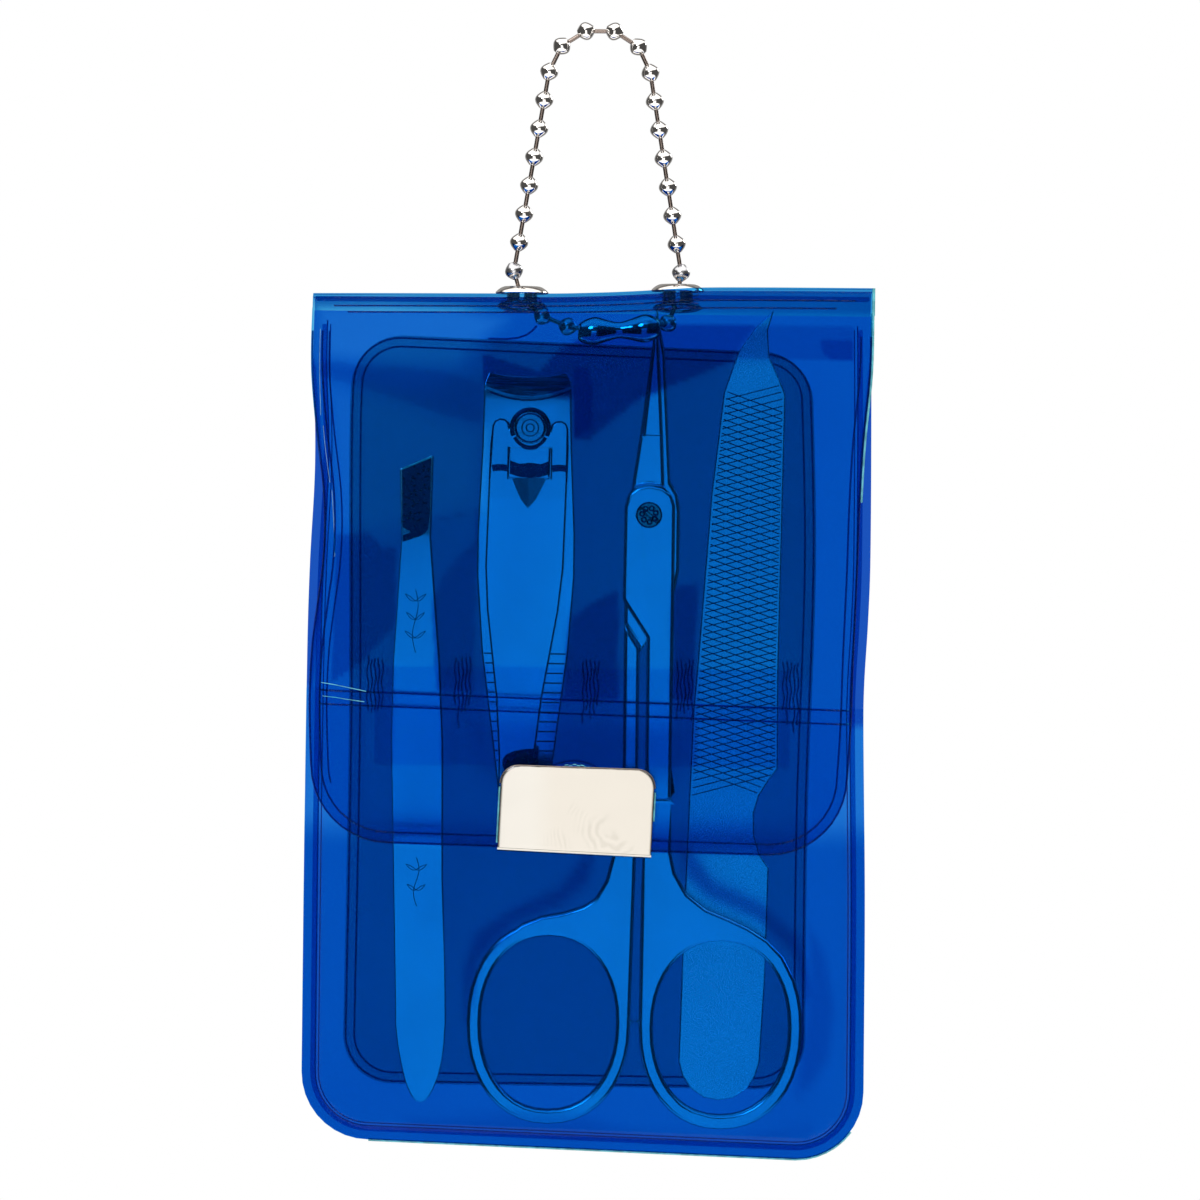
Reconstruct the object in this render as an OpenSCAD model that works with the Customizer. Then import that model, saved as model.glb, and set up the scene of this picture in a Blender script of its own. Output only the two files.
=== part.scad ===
// Manicure set case: a tinted film snap pouch on a ball chain, with its four tools.
// The origin is the middle of the top fold, +Z is up and the flap faces -Y. Sizes are in mm.

/* [Case] */
// Width of the pouch
case_w = 64.6; // [60:0.2:70]
// Height of the pouch, from the top fold to the bottom seam
case_h = 99.5; // [99:0.1:101]
// Thickness of the tinted film
film = 0.4; // [0.3:0.05:0.4]
// Depth of the back panel's outer face behind the eyelets
back_y = 5; // [5:0.1:6]
// Depth of the flap's outer face in front of the eyelets
front_y = 5.1; // [5.1:0.1:6]
// Radius of the two creases along the top fold
fold_r = 2; // [1:0.1:2.2]
// Radius of the pouch's bottom corners
corner_r = 7.5; // [4:0.5:9]
// How far the flap's sides curve back from its middle
crown = 3.2; // [2:0.1:3.4]

/* [Inner card and tool band] */
// Left and right edges of the inner card
card_x = [-27.7, 26]; // [-30:0.1:30]
// Top and bottom edges of the inner card
card_z = [-5.2, -91.9]; // [-95:0.1:-4]
// Upper and lower edges of the tool band
band_z = [-43.4, -54.7]; // [-60:0.1:-40]
// Weld lines that divide the band into four tool pockets
band_welds = [-24.6, -14.5, 0.3, 11.2, 23.4]; // [-28:0.1:28]

/* [Front pocket] */
// Height of the pocket's mouth at the middle of the case
mouth_z = -46.9; // [-50:0.1:-45]
// Slope of the mouth, lower on the right
mouth_tilt = 1.4; // [0:0.1:2]
// Depth of the pocket's front in front of the eyelets
pocket_y = 2.6; // [2.6:0.05:2.8]

/* [Flap and clasp] */
// Width of the flap
flap_w = 62.6; // [60:0.2:64]
// Height at which the flap ends
flap_z = -64.15; // [-66:0.05:-62]
// Radius of the flap's bottom corners
flap_corner_r = 9.5; // [6:0.5:12]
// Width and height of the folded metal plate
plate_size = [18, 9.6]; // [8:0.1:20]
// Thickness of the plate's sheet
plate_t = 0.4; // [0.3:0.05:0.4]
// Slant of the plate
plate_tilt = 1.6; // [0:0.1:2]
// Middle of the snap, across and up
snap_at = [-0.9, -59.4]; // [-60:0.1:2]
// Radius of the snap's stud
stud_r = 2.1; // [1.8:0.05:2.2]

/* [Ball chain] */
// Positions of the two eyelets across the fold
eyelet_x = [-8.1, 9.8]; // [-12:0.1:12]
// Radius of the bore of an eyelet
eyelet_bore_r = 1.45; // [1.3:0.05:1.6]
// Radius of a bead
bead_r = 1.05; // [0.9:0.05:1.1]
// Radius of the wire between the beads
wire_r = 0.3; // [0.2:0.05:0.35]
// Half the distance between the feet of the loop
chain_foot = 9.6; // [9:0.1:10]
// Height of the two beads that sit on the eyelets
chain_foot_z = 2.2; // [2.1:0.05:2.4]
// Radius of the bend at the top of the loop
chain_bend_r = 5.9; // [5:0.1:7]
// Height of the middle of that bend
chain_bend_z = 24.2; // [22:0.1:26]

/* [Tweezers] */
// Thickness of the tweezers' sheet
tweezer_t = 0.9; // [0.7:0.1:1]

/* [Nail clipper] */
// Middle of the clipper across the case
clipper_x = -7.3; // [-7.6:0.1:-7]
// Height of the clipper's pin
clipper_pin_z = -15.9; // [-16.2:0.1:-15.6]
// How far the folded lever leans to the left
lever_lean = 1.8; // [0:0.1:2.5]
// Thickness of its two arms
clipper_t = 1.1; // [0.9:0.1:1.1]

/* [Scissors] */
// Place of the scissors' screw, across and up
screw_at = [6.8, -25.7]; // [-26:0.1:7]
// Half thickness of one blade
blade_t = 1.6; // [1.2:0.1:1.6]

/* [Nail file] */
// Thickness of the file
file_t = 1.2; // [0.8:0.1:1.2]

/* [Hidden] */
$fn = 48;

vinyl = [0.05, 0.33, 0.78, 0.55];
steel = [0.72, 0.74, 0.77];
half_w = case_w / 2;
flap_half = flap_w / 2;
card_t = film;
card_y = back_y - film - card_t;
tool_y = card_y - 0.2;
hinge_z = -fold_r - 0.4;
crown_r = (flap_half * flap_half + crown * crown) / (2 * crown);
seam = 1.6;
plate_mid = [-1, flap_z + plate_size[1] / 2 - 0.35];
strip_z = -2 * film;

// An outline of the front view (x, z), made solid from depth y0 to depth y1
module slab(y0, y1) {
    translate([0, y1, 0]) rotate([90, 0, 0]) linear_extrude(y1 - y0) children();
}

// An outline of the side view (y, z), made solid from x0 to x1
module across(x0, x1) {
    translate([x0, 0, 0]) rotate([90, 0, 90]) linear_extrude(x1 - x0) children();
}

// A round post that runs from depth y0 to depth y1
module post(at, y0, y1, r) {
    translate([at[0], y1, at[1]]) rotate([90, 0, 0]) cylinder(h = y1 - y0, r = r);
}

// A rectangle in the front view, with rounded bottom corners and its own top radius
module panel_outline(x0, x1, z_top, z_bottom, r, top_r = 0) {
    translate([x0, z_bottom + r]) square([x1 - x0, z_top - top_r - z_bottom - r]);
    translate([x0 + r, z_bottom]) square([x1 - x0 - 2 * r, r + 1]);
    for (x = [x0 + r, x1 - r]) translate([x, z_bottom + r]) circle(r);
    if (top_r > 0) {
        translate([x0 + top_r, z_top - top_r - 1]) square([x1 - x0 - 2 * top_r, top_r + 1]);
        for (x = [x0 + top_r, x1 - top_r]) translate([x, z_top - top_r]) circle(top_r);
    }
}

// All that lies behind the crowned front face, moved back by depth
module behind_crown(depth) {
    translate([0, crown_r - front_y, -80])
        cylinder(h = 90, r = crown_r - depth, $fn = 720);
}

// The crowned sheet between two depths behind the front face
module crowned(from, to) {
    difference() {
        behind_crown(from);
        behind_crown(to);
    }
}

// Points of an oval that is a little squarer than an ellipse
function oval(mid, rx, rz, squareness = 0.92, n = 40) = [
    for (i = [0:n - 1]) let (a = 360 * i / n, c = cos(a), s = sin(a))
        [mid[0] + rx * sign(c) * pow(abs(c), squareness),
         mid[1] + rz * sign(s) * pow(abs(s), squareness)]
];

// Points of an arc about a middle, between two angles
function arc(mid, r, from, to, n = 9) = [
    for (i = [0:n]) let (a = from + (to - from) * i / n) mid + r * [cos(a), sin(a)]
];

// An outline about x = 0, from the points of its right half, top to bottom
function both_sides(right) = concat(
    right, [for (i = [len(right) - 1:-1:0]) [-right[i][0], right[i][1]]]
);

// The pouch

module back_panel() {
    color(vinyl) slab(back_y - film, back_y)
        panel_outline(-half_w, half_w, hinge_z, -case_h, corner_r);
}

// The fold's side profile, shrunk by inset, with rounded creases
module fold_profile(inset) {
    r = fold_r - inset;
    y0 = -front_y + inset;
    y1 = back_y - inset;
    translate([y0, hinge_z - 1]) square([y1 - y0, -fold_r - hinge_z + 1]);
    translate([y0 + r, -fold_r - 0.01]) square([y1 - y0 - 2 * r, r + 0.01]);
    for (y = [y0 + r, y1 - r]) translate([y, -fold_r]) circle(r);
}

module top_fold() {
    color(vinyl) difference() {
        intersection() {
            across(-half_w, half_w) fold_profile(0);
            behind_crown(0);
            translate([-half_w, -20, hinge_z + 0.02]) cube([case_w, 40, 20]);
        }
        intersection() {
            across(-half_w - 1, half_w + 1) fold_profile(film);
            behind_crown(film);
        }
        for (x = eyelet_x) translate([x, 0, -2]) cylinder(h = 4, r = eyelet_bore_r + 0.3);
    }
}

module fold_strip() {
    color(vinyl) difference() {
        translate([-half_w + 2, -1.5, strip_z]) cube([case_w - 4, 4.4, film]);
        for (x = eyelet_x) translate([x, 0, -2]) cylinder(h = 4, r = eyelet_bore_r + 0.3);
        for (x = eyelet_x) translate([x - 3, -4, -2]) cube([6, 2.4, 4]);
    }
}

module inner_card() {
    color(vinyl) slab(card_y, card_y + card_t)
        panel_outline(card_x[0], card_x[1], card_z[0], card_z[1], 5.7, 5.7);
}

// One pocket of the tool band, as a strip that rises from one weld to the next
module band_pocket(x0, x1, left, right, rise) {
    w = 0.45;
    base = card_y;
    top = rise;
    polygon([
        [x0, base], [x0, base - film], [x0 + w - 0.1, base - film],
        [left - film, top + 0.5], [left + 0.1, top - film],
        [right - 0.1, top - film], [right + film, top + 0.5],
        [x1 - w + 0.1, base - film], [x1, base - film], [x1, base],
        [x1 - w - 0.25, base], [right, top + 0.5], [right - 0.3, top],
        [left + 0.3, top], [left, top + 0.5], [x0 + w + 0.25, base]
    ]);
}

module tool_band() {
    front = -1.65;
    color(vinyl) translate([0, 0, band_z[1]]) linear_extrude(band_z[0] - band_z[1]) {
        band_pocket(band_welds[0], band_welds[1], -23.2, -15.9, front);
        band_pocket(band_welds[1], band_welds[2], -13.3, -1.1, front);
        band_pocket(band_welds[2], band_welds[3], 2.3, 9.7, front);
        band_pocket(band_welds[3], band_welds[4], 11.85, 22.7, 2.45);
    }
}

// One level of the pocket's bulging front: its depth, and how far it is drawn in
module pocket_level(y, side, bottom, r) {
    slab(y, y + 0.02)
        panel_outline(-half_w + side, half_w - side, -40, -case_h + bottom, r, $fn = 32);
}

// The solid that the pocket's film wraps, shrunk by the film's thickness or not
module pocket_form(inset) {
    hull() {
        pocket_level(back_y - film - 0.02, seam + inset, 1.2 + inset, 4.8 - inset);
        pocket_level(-pocket_y + 1.2 + inset, seam + 2 + inset, 1.7 + inset, 4.5 - inset);
        pocket_level(-pocket_y + inset, seam + 7 + inset, 9 + inset, 4.5 - inset);
    }
}

module front_pocket() {
    color(vinyl) difference() {
        union() {
            pocket_form(0);
            slab(card_y, back_y - film)
                panel_outline(-half_w, half_w, -40, -case_h, corner_r);
        }
        pocket_form(film);
        translate([0, 0, mouth_z]) rotate([0, mouth_tilt, 0])
            translate([-50, -10, 0]) cube([100, 20, 30]);
        post(snap_at, -4, 0, 1.6);
    }
}

// The clasp

module snap_socket() {
    color(steel) difference() {
        union() {
            post(snap_at, -pocket_y - 0.4, -pocket_y, 5);
            post(snap_at, -pocket_y - 1.2, -pocket_y - 0.4, 3.5);
        }
        post(snap_at, -pocket_y - 2, -pocket_y - 0.2, stud_r + 0.1);
    }
}

module snap_cap() {
    color(steel) {
        post(snap_at, -pocket_y + film, -pocket_y + film + 0.3, 4);
        post(snap_at, -pocket_y, -pocket_y + film + 0.1, 1.6);
    }
}

module snap_stud() {
    leaf = -front_y + film + plate_t;
    color(steel) {
        post(snap_at, leaf + 0.09, leaf + 0.33, 3.9);
        post(snap_at, leaf + 0.02, leaf + 1.3, stud_r);
    }
}

// The plate's outline in its own slanted frame
module plate_outline() {
    w = plate_size[0];
    h = plate_size[1];
    translate([-w / 2, -h / 2]) square([w, h - 2]);
    translate([-w / 2 + 2, h / 2 - 3]) square([w - 4, 3]);
    for (x = [-w / 2 + 2, w / 2 - 2]) translate([x, h / 2 - 2]) circle(2);
}

module place_plate() {
    translate([plate_mid[0], 0, plate_mid[1]]) rotate([0, plate_tilt, 0]) children();
}

// The strip that closes the plate along its fold
module plate_web() {
    place_plate() translate([-plate_size[0] / 2, -9, -plate_size[1] / 2])
        cube([plate_size[0], 8, plate_t]);
}

module clasp_plate() {
    color([0.93, 0.9, 0.87]) {
        intersection() {
            place_plate() slab(-9, -1) plate_outline();
            crowned(-plate_t, 0);
        }
        intersection() {
            place_plate() slab(-9, -1) plate_outline();
            crowned(film, film + plate_t);
        }
        intersection() {
            plate_web();
            crowned(-plate_t, film + plate_t);
        }
    }
}

module flap() {
    color(vinyl) difference() {
        intersection() {
            slab(-front_y - 1, 0)
                panel_outline(-flap_half, flap_half, hinge_z - 0.03, flap_z, flap_corner_r);
            crowned(0, film);
        }
        plate_web();
    }
}

// The ball chain

chain_x = 0.55;
beads_out = 19;
foot_to_bend = sqrt(pow(chain_foot, 2) + pow(chain_bend_z - chain_foot_z, 2));
lean = atan(chain_foot / (chain_bend_z - chain_foot_z)) - asin(chain_bend_r / foot_to_bend);
leg = sqrt(pow(foot_to_bend, 2) - pow(chain_bend_r, 2));
half_loop = leg + chain_bend_r * (90 - lean) * PI / 180;
pitch = 2 * half_loop / beads_out;

// A point of the loop's left half, at a run s from its foot
function left_point(s) = s < leg
    ? [-chain_foot + s * sin(lean), 0, chain_foot_z + s * cos(lean)]
    : let (a = lean + (s - leg) / chain_bend_r * 180 / PI)
        [-chain_bend_r * cos(a), 0, chain_bend_z + chain_bend_r * sin(a)];

// The middle of bead i of the loop, counted from the left foot
function bead_at(i) = i * pitch <= half_loop + 0.001
    ? left_point(i * pitch) + [chain_x, 0, 0]
    : let (p = left_point((beads_out - i) * pitch)) [chain_x - p[0], 0, p[2]];

// The run of the chain inside the case, from the left eyelet to the coupler and on to the right
inner_left = [[-8.1, 0, -1], [-5.7, -1.2, -3], [-2.8, -2.1, -4.2], [0.3, -2.4, -4.7]];
inner_right = [[6, -2.4, -4.9], [8.7, -2.1, -3.7], [9.8, 0, -1]];

module bead(at) {
    translate(at) sphere(bead_r);
}

// The visible wire between two beads, which stops just short of both
module link(a, b) {
    run = b - a;
    len = norm(run);
    gap = bead_r + 0.04;
    translate(a) rotate([0, acos(run[2] / len), atan2(run[1], run[0])])
        translate([0, 0, gap]) cylinder(h = len - 2 * gap, r = wire_r, $fn = 24);
}

module chain_inner_beads() {
    color(steel) {
        for (p = inner_left) bead(p);
        for (p = inner_right) bead(p);
        for (i = [0, beads_out]) bead(bead_at(i));
    }
}

module chain_inner_links() {
    color(steel) {
        for (i = [1:3]) link(inner_left[i - 1], inner_left[i]);
        for (i = [1:2]) link(inner_right[i - 1], inner_right[i]);
        link(inner_left[0], bead_at(0));
        link(inner_right[2], bead_at(beads_out));
    }
}

module chain_coupler() {
    a = inner_left[3];
    b = inner_right[0];
    y = a[1];
    color(steel) difference() {
        union() {
            post([a[0], a[2]], y - 1.35, y + 1.3, 1.5);
            post([b[0], b[2]], y - 1.35, y + 1.3, 1.5);
            translate([a[0], y - 1.35, b[2] - 0.9]) cube([b[0] - a[0], 2.65, 2.5]);
        }
        post([a[0], a[2]], y - 1.1, y + 2, 1.2);
        post([b[0], b[2]], y - 1.1, y + 2, 1.2);
        translate([a[0] - 2, y - 0.5, b[2] - 0.5]) cube([b[0] - a[0] + 4, 3, 1.75]);
    }
}

module chain_lower_beads() {
    color(steel) for (i = [1:3]) {
        bead(bead_at(i));
        bead(bead_at(beads_out - i));
    }
}

module chain_lower_links() {
    color(steel) for (i = [1:3]) {
        link(bead_at(i - 1), bead_at(i));
        link(bead_at(beads_out - i), bead_at(beads_out - i + 1));
    }
}

module chain_upper_beads() {
    color(steel) for (i = [4:beads_out - 4]) bead(bead_at(i));
}

module chain_upper_links() {
    color(steel) for (i = [4:beads_out - 3]) link(bead_at(i - 1), bead_at(i));
}

module eyelets() {
    color(steel) for (x = eyelet_x) translate([x, 0, 0]) rotate_extrude() {
        translate([eyelet_bore_r, strip_z - 0.45]) square([0.3, -strip_z + 0.45 + 0.4]);
        intersection() {
            translate([2.1, 0]) scale(1) circle(0.85);
            translate([eyelet_bore_r, 0]) square([2, 1]);
        }
    }
}

module eyelet_washers() {
    color(steel) for (x = eyelet_x) translate([x, 0, strip_z - 0.35]) difference() {
        cylinder(h = 0.35, r = 2.8);
        translate([0, 0, -1]) cylinder(h = 3, r = eyelet_bore_r + 0.3);
    }
}

// The tweezers

tweezer_outline = [
    [-21.9, -20.7], [-18.1, -19], [-18.3, -28.6], [-17.1, -43], [-16.65, -52],
    [-16.5, -68], [-16.1, -78], [-15.97, -84.5], [-16.1, -87], [-16.35, -89],
    [-16.75, -90.7], [-17.25, -92.05], [-17.75, -92.95], [-18.25, -93.5], [-18.8, -93.7],
    [-19.35, -93.5], [-19.85, -92.9], [-20.35, -91.9], [-20.75, -90.6], [-21.1, -89.1],
    [-21.45, -87.4], [-21.75, -85],
    [-22.3, -61], [-22.55, -52], [-22.4, -43], [-21.6, -28.6]
];
// How far the front arm's outer face stands in front of the tail's, at heights along the arm
bow_z = [-20, -28, -36, -45, -55, -68, -80, -94];
bow = [2.2, 3.3, 3.6, 3.5, 2.9, 1.7, 0, 0];

module tweezers_rear_arm() {
    y1 = tool_y;
    y0 = tool_y - tweezer_t;
    color(steel) intersection() {
        slab(y0 - 2, y1 + 1) polygon(tweezer_outline);
        across(-30, 0) polygon([
            [y0, -94], [y0, -29], [y0 - 0.7, -18], [y1 - 1, -18], [y1, -29], [y1, -94]
        ]);
    }
}

module tweezers_front_arm() {
    tail = tool_y - 2 * tweezer_t;
    n = len(bow) - 1;
    outer = [for (i = [0:n]) [tail - bow[i], bow_z[i]]];
    inner = [for (i = [n:-1:0]) [tail - bow[i] + tweezer_t, bow_z[i]]];
    tip = [[tail - bow[0] + tweezer_t, -18], [tail - bow[0] + 0.3, -18]];
    color(steel) intersection() {
        slab(-6, tool_y) polygon(tweezer_outline);
        across(-30, 0) polygon(concat(outer, inner, tip));
    }
}

// The nail clipper. Its side profiles are given as distances in front of the tool face.

clipper_tail = -61;
pin_at = [clipper_x + 0.35, clipper_pin_z];
lever_tail = -58;

module clipper_outline() {
    translate([clipper_x, 0]) polygon(both_sides(concat(
        [[0.3, -9.9], [2.4, -9.8], [4.5, -9.4], [5, -10.6]],
        [[5.15, -18], [5.6, -28], [5.6, -33], [5, -41.5], [3.4, -54]],
        arc([0, clipper_tail], 2.5, 0, -86)
    )));
}

// A side profile of (distance in front of the tool face, z) points, as wide as the clipper
module clipper_side(points) {
    across(-30, 10) polygon([for (p = points) [tool_y - p[0], p[1]]]);
}

module clipper_lower_arm() {
    t = clipper_t;
    color(steel) difference() {
        intersection() {
            slab(-6, tool_y + 1) clipper_outline();
            clipper_side([
                [0, -65], [t, -65], [t, -17], [1.9, -9], [0.9, -9], [0, -17]
            ]);
        }
        post(pin_at, 0, 6, 1.15);
        post(pin_at, tool_y - 0.5, 6, 1.95);
        post([clipper_x, -60.5], 0, 6, 1);
    }
}

module clipper_upper_arm() {
    t = clipper_t;
    color(steel) difference() {
        intersection() {
            slab(-6, tool_y + 1) clipper_outline();
            clipper_side([
                [t, -65], [2 * t, -65], [2 * t, -57], [5, -24], [5, -12.6],
                [4.3, -9], [3.3, -9], [3.9, -13.4], [3.9, -24], [t, -57]
            ]);
        }
        post(pin_at, -6, 6, 1.6);
        post([clipper_x, -60.5], -6, 6, 1.2);
    }
}

module clipper_rivet() {
    color(steel) {
        post([clipper_x, -60.5], tool_y - 2.45, tool_y, 1);
        post([clipper_x, -60.5], tool_y - 2.57, tool_y - 2.39, 1.5);
    }
}

module clipper_pin() {
    color(steel) {
        post(pin_at, tool_y - 0.5, tool_y, 1.9);
        post(pin_at, tool_y - 6.5, tool_y - 0.5, 1.1);
        post(pin_at, tool_y - 7.1, tool_y - 6.4, 1.84);
    }
}

// The lever's outline, as (x, z) from the pin
module lever_outline() {
    polygon(both_sides(concat(
        arc([0, 0], 2, 86, 4),
        [[2.35, -0.1], [2.5, 0.5], [2.9, 0.9], [3.6, 0.95], [4.1, 0.7], [4.35, 0.1]],
        [[4.5, -6], [4.5, -16], [4.1, -21], [2.65, -31], [2.05, -37.7]],
        arc([0, lever_tail - clipper_pin_z], 1.95, 0, -86)
    )));
}

module clipper_lever() {
    color(steel) difference() {
        intersection() {
            slab(-6, tool_y + 1) translate(pin_at) rotate(-lever_lean) lever_outline();
            clipper_side([
                [5.2, -12], [5.2, -24], [2.7, -59], [2.64, -61], [3.64, -61], [3.7, -59],
                [6.2, -24], [6.2, -12]
            ]);
        }
        post(pin_at, -6, 6, 1.2);
        translate([pin_at[0] - 2.4, -6, -21.6]) cube([4.8, 12, 3.4]);
    }
}

// The scissors

rear_y = [0.85, 0.85 + blade_t];
fore_y = [0.75 - blade_t, 0.75];
grip_y = [-0.75, 2.4];
left_loop = [-4.1, -84.2];
right_loop = [15.7, -84.6];
loop_r = [9.4, 11.6];
hole_r = [7.8, 10];

module grip_ring(mid) {
    difference() {
        polygon(oval(mid, loop_r[0], loop_r[1]));
        polygon(oval(mid, hole_r[0], hole_r[1]));
    }
}

// The left grip, from the shank to the loop
module left_grip() {
    grip_ring(left_loop);
    difference() {
        polygon([
            [4.1, -38.2], [5.9, -41], [5.9, -58], [5.6, -70], [5.3, -84], [-4.1, -84.2],
            [-13.2, -81.6], [-12.3, -78.9], [-10.8, -76.3], [-9.1, -74.3], [-7.3, -72.9],
            [-5.1, -72], [-2.5, -71.5], [-0.3, -70.8], [1.1, -69.9], [2.3, -67.8], [3, -65],
            [3.9, -61.5], [4.1, -57]
        ]);
        polygon(oval(left_loop, hole_r[0], hole_r[1]));
    }
}

// The right grip, from the shank to the loop
module right_grip() {
    grip_ring(right_loop);
    difference() {
        polygon([
            [9.7, -58], [6.7, -58], [6.4, -70], [6.3, -84], [15.7, -84.6], [24.9, -82],
            [24.2, -79], [22.8, -76.3], [21, -74.4], [18.8, -73], [16.6, -72], [13.9, -70.9],
            [11.7, -69.2], [10.3, -66.8], [9.8, -64.5]
        ]);
        polygon(oval(right_loop, hole_r[0], hole_r[1]));
    }
}

// The front half: a raised block over the screw, the blade above it and the right grip
module scissors_front_half() {
    color(steel) difference() {
        union() {
            slab(fore_y[0], fore_y[1]) polygon([
                [4, -24.6], [4.4, -23.3], [5.4, -22.5], [6.8, -22.2], [8.3, -22.5],
                [9.4, -23.3], [9.8, -24.6], [9.8, -36], [9.7, -58.5], [6.7, -58.5],
                [6.7, -39.8], [3.9, -35.5]
            ]);
            slab(fore_y[0] + 0.55, fore_y[1]) polygon([
                [7.4, -1.6], [7.8, -6.7], [8.3, -16.5], [8.6, -24], [4.7, -24],
                [4.9, -21.7], [5.65, -16.5], [5.95, -16.4], [6.9, -6.7]
            ]);
            slab(grip_y[0], grip_y[1]) right_grip();
        }
        post(screw_at, -6, 6, 1);
    }
}

// The rear half: the same block behind the front one, its blade and the left grip
module scissors_rear_half() {
    color(steel) difference() {
        union() {
            slab(rear_y[0], rear_y[1]) polygon([
                [7.45, -1.6], [8.4, -6.7], [9.2, -21.7], [10.1, -23.2], [10.35, -25],
                [10.35, -32], [9.4, -36.8], [5.9, -41.5], [5.9, -58.5], [4.1, -58.5],
                [4.1, -24.6], [4.9, -22.7], [5.7, -16.4], [6.9, -6.7]
            ]);
            slab(grip_y[0], grip_y[1]) left_grip();
        }
        post(screw_at, -6, 6, 1.05);
    }
}

module scissors_screw() {
    color(steel) difference() {
        union() {
            post(screw_at, fore_y[0] - 0.65, fore_y[0] - 0.05, 1.45);
            post(screw_at, fore_y[0] - 0.1, rear_y[1] + 0.3, 1);
        }
        translate([screw_at[0], fore_y[0] - 0.6, screw_at[1]]) rotate([0, 35, 0])
            cube([3.2, 0.5, 0.4], center = true);
    }
}

// The nail file

module nail_file() {
    color(steel) slab(tool_y - file_t, tool_y) polygon([
        [21, -1.8], [20.3, -4.2], [20.5, -7.2], [21.6, -9.6], [22.4, -11.6], [22.3, -23.1],
        [21.95, -43.1], [22, -54.8], [21.2, -55.8], [19.9, -57.9], [19.3, -60],
        [19.4, -62.6], [20.1, -64.8], [21.1, -66.2], [20.8, -79.5], [20.3, -88.7],
        [19.8, -90.3], [18.8, -91.8], [17.3, -92.8], [15.6, -93.1], [13.9, -92.8],
        [12.4, -91.8], [11.4, -90.3], [10.95, -88.7], [11.3, -75.7],
        [11.7, -62.2], [12.2, -47.9], [12.6, -43.2], [13.4, -32.4], [14, -23.2],
        [14.7, -17], [15.3, -11.4], [16.9, -6.8], [18.8, -4]
    ]);
}

back_panel();
top_fold();
fold_strip();
inner_card();
tool_band();
front_pocket();
eyelets();
eyelet_washers();
snap_socket();
snap_cap();
flap();
clasp_plate();
snap_stud();
chain_inner_beads();
chain_inner_links();
chain_coupler();
chain_lower_beads();
chain_lower_links();
chain_upper_beads();
chain_upper_links();
tweezers_rear_arm();
tweezers_front_arm();
clipper_lower_arm();
clipper_pin();
clipper_rivet();
clipper_upper_arm();
clipper_lever();
scissors_rear_half();
scissors_front_half();
scissors_screw();
nail_file();
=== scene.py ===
"""Looks of the manicure set case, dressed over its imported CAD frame.

The object is a snap pouch of clear blue film on a bead chain. Slant tweezers, a nail clipper,
nail scissors and a nail file show through the film. Sizes in this file are in millimetres, in the
frame of the CAD, and become metres where a mesh is made. A depth is a distance below the top fold.
"""

import logging
import math
from contextlib import contextmanager
from dataclasses import dataclass, field
from enum import Enum
from typing import Callable, ClassVar, Iterator, Sequence

import bmesh
import bpy
import numpy as np
from mathutils import Matrix, Vector, noise


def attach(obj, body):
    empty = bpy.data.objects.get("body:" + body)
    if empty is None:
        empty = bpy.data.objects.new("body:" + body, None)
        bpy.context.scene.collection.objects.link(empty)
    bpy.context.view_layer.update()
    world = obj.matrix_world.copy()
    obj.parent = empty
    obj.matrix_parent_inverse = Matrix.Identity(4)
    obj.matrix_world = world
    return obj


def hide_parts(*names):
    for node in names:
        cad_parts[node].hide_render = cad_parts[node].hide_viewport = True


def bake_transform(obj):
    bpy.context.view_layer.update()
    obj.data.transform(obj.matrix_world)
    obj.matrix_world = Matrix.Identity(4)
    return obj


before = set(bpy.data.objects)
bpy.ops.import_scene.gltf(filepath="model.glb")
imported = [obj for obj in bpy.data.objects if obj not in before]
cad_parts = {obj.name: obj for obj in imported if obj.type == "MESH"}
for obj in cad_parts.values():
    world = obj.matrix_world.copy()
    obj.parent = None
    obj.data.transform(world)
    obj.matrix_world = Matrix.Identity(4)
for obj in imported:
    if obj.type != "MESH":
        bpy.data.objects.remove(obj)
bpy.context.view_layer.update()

log = logging.getLogger("manicure_case")

MM = 0.001
FRONT_Y = -5.1
BACK_Y = 5.0
FOLD_R = 2.0
FILM_T = 0.4
CARD_Y = 4.2
TOOL_Y = 4.0
CROWN_R = (31.3**2 + 3.2**2) / (2 * 3.2)
CLIPPER_X = -7.3
PIN_Z = -15.9
SNAP_AT = (-0.9, -59.4)
EYELETS_X = (-8.1, 9.8)
SEAM_STEP = 1.5

Flat = tuple[float, float]
Point = tuple[float, float, float]
Row = Callable[[float], Flat]
Piece = bpy.types.Object
Material = bpy.types.Material
Socket = bpy.types.NodeSocket


# Small helpers for curves and meshes


def lerp(a: float, b: float, t: float) -> float:
    """The value a share t of the way from a to b."""
    return a + (b - a) * t


def smooth(x: float, low: float, high: float) -> float:
    """A soft step that goes from 0 at low to 1 at high."""
    t = min(max((x - low) / (high - low), 0.0), 1.0)
    return t * t * (3 - 2 * t)


def crown(x: float) -> float:
    """How far the flap's face curves back at a place across the case."""
    return CROWN_R - math.sqrt(CROWN_R**2 - x * x)


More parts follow.
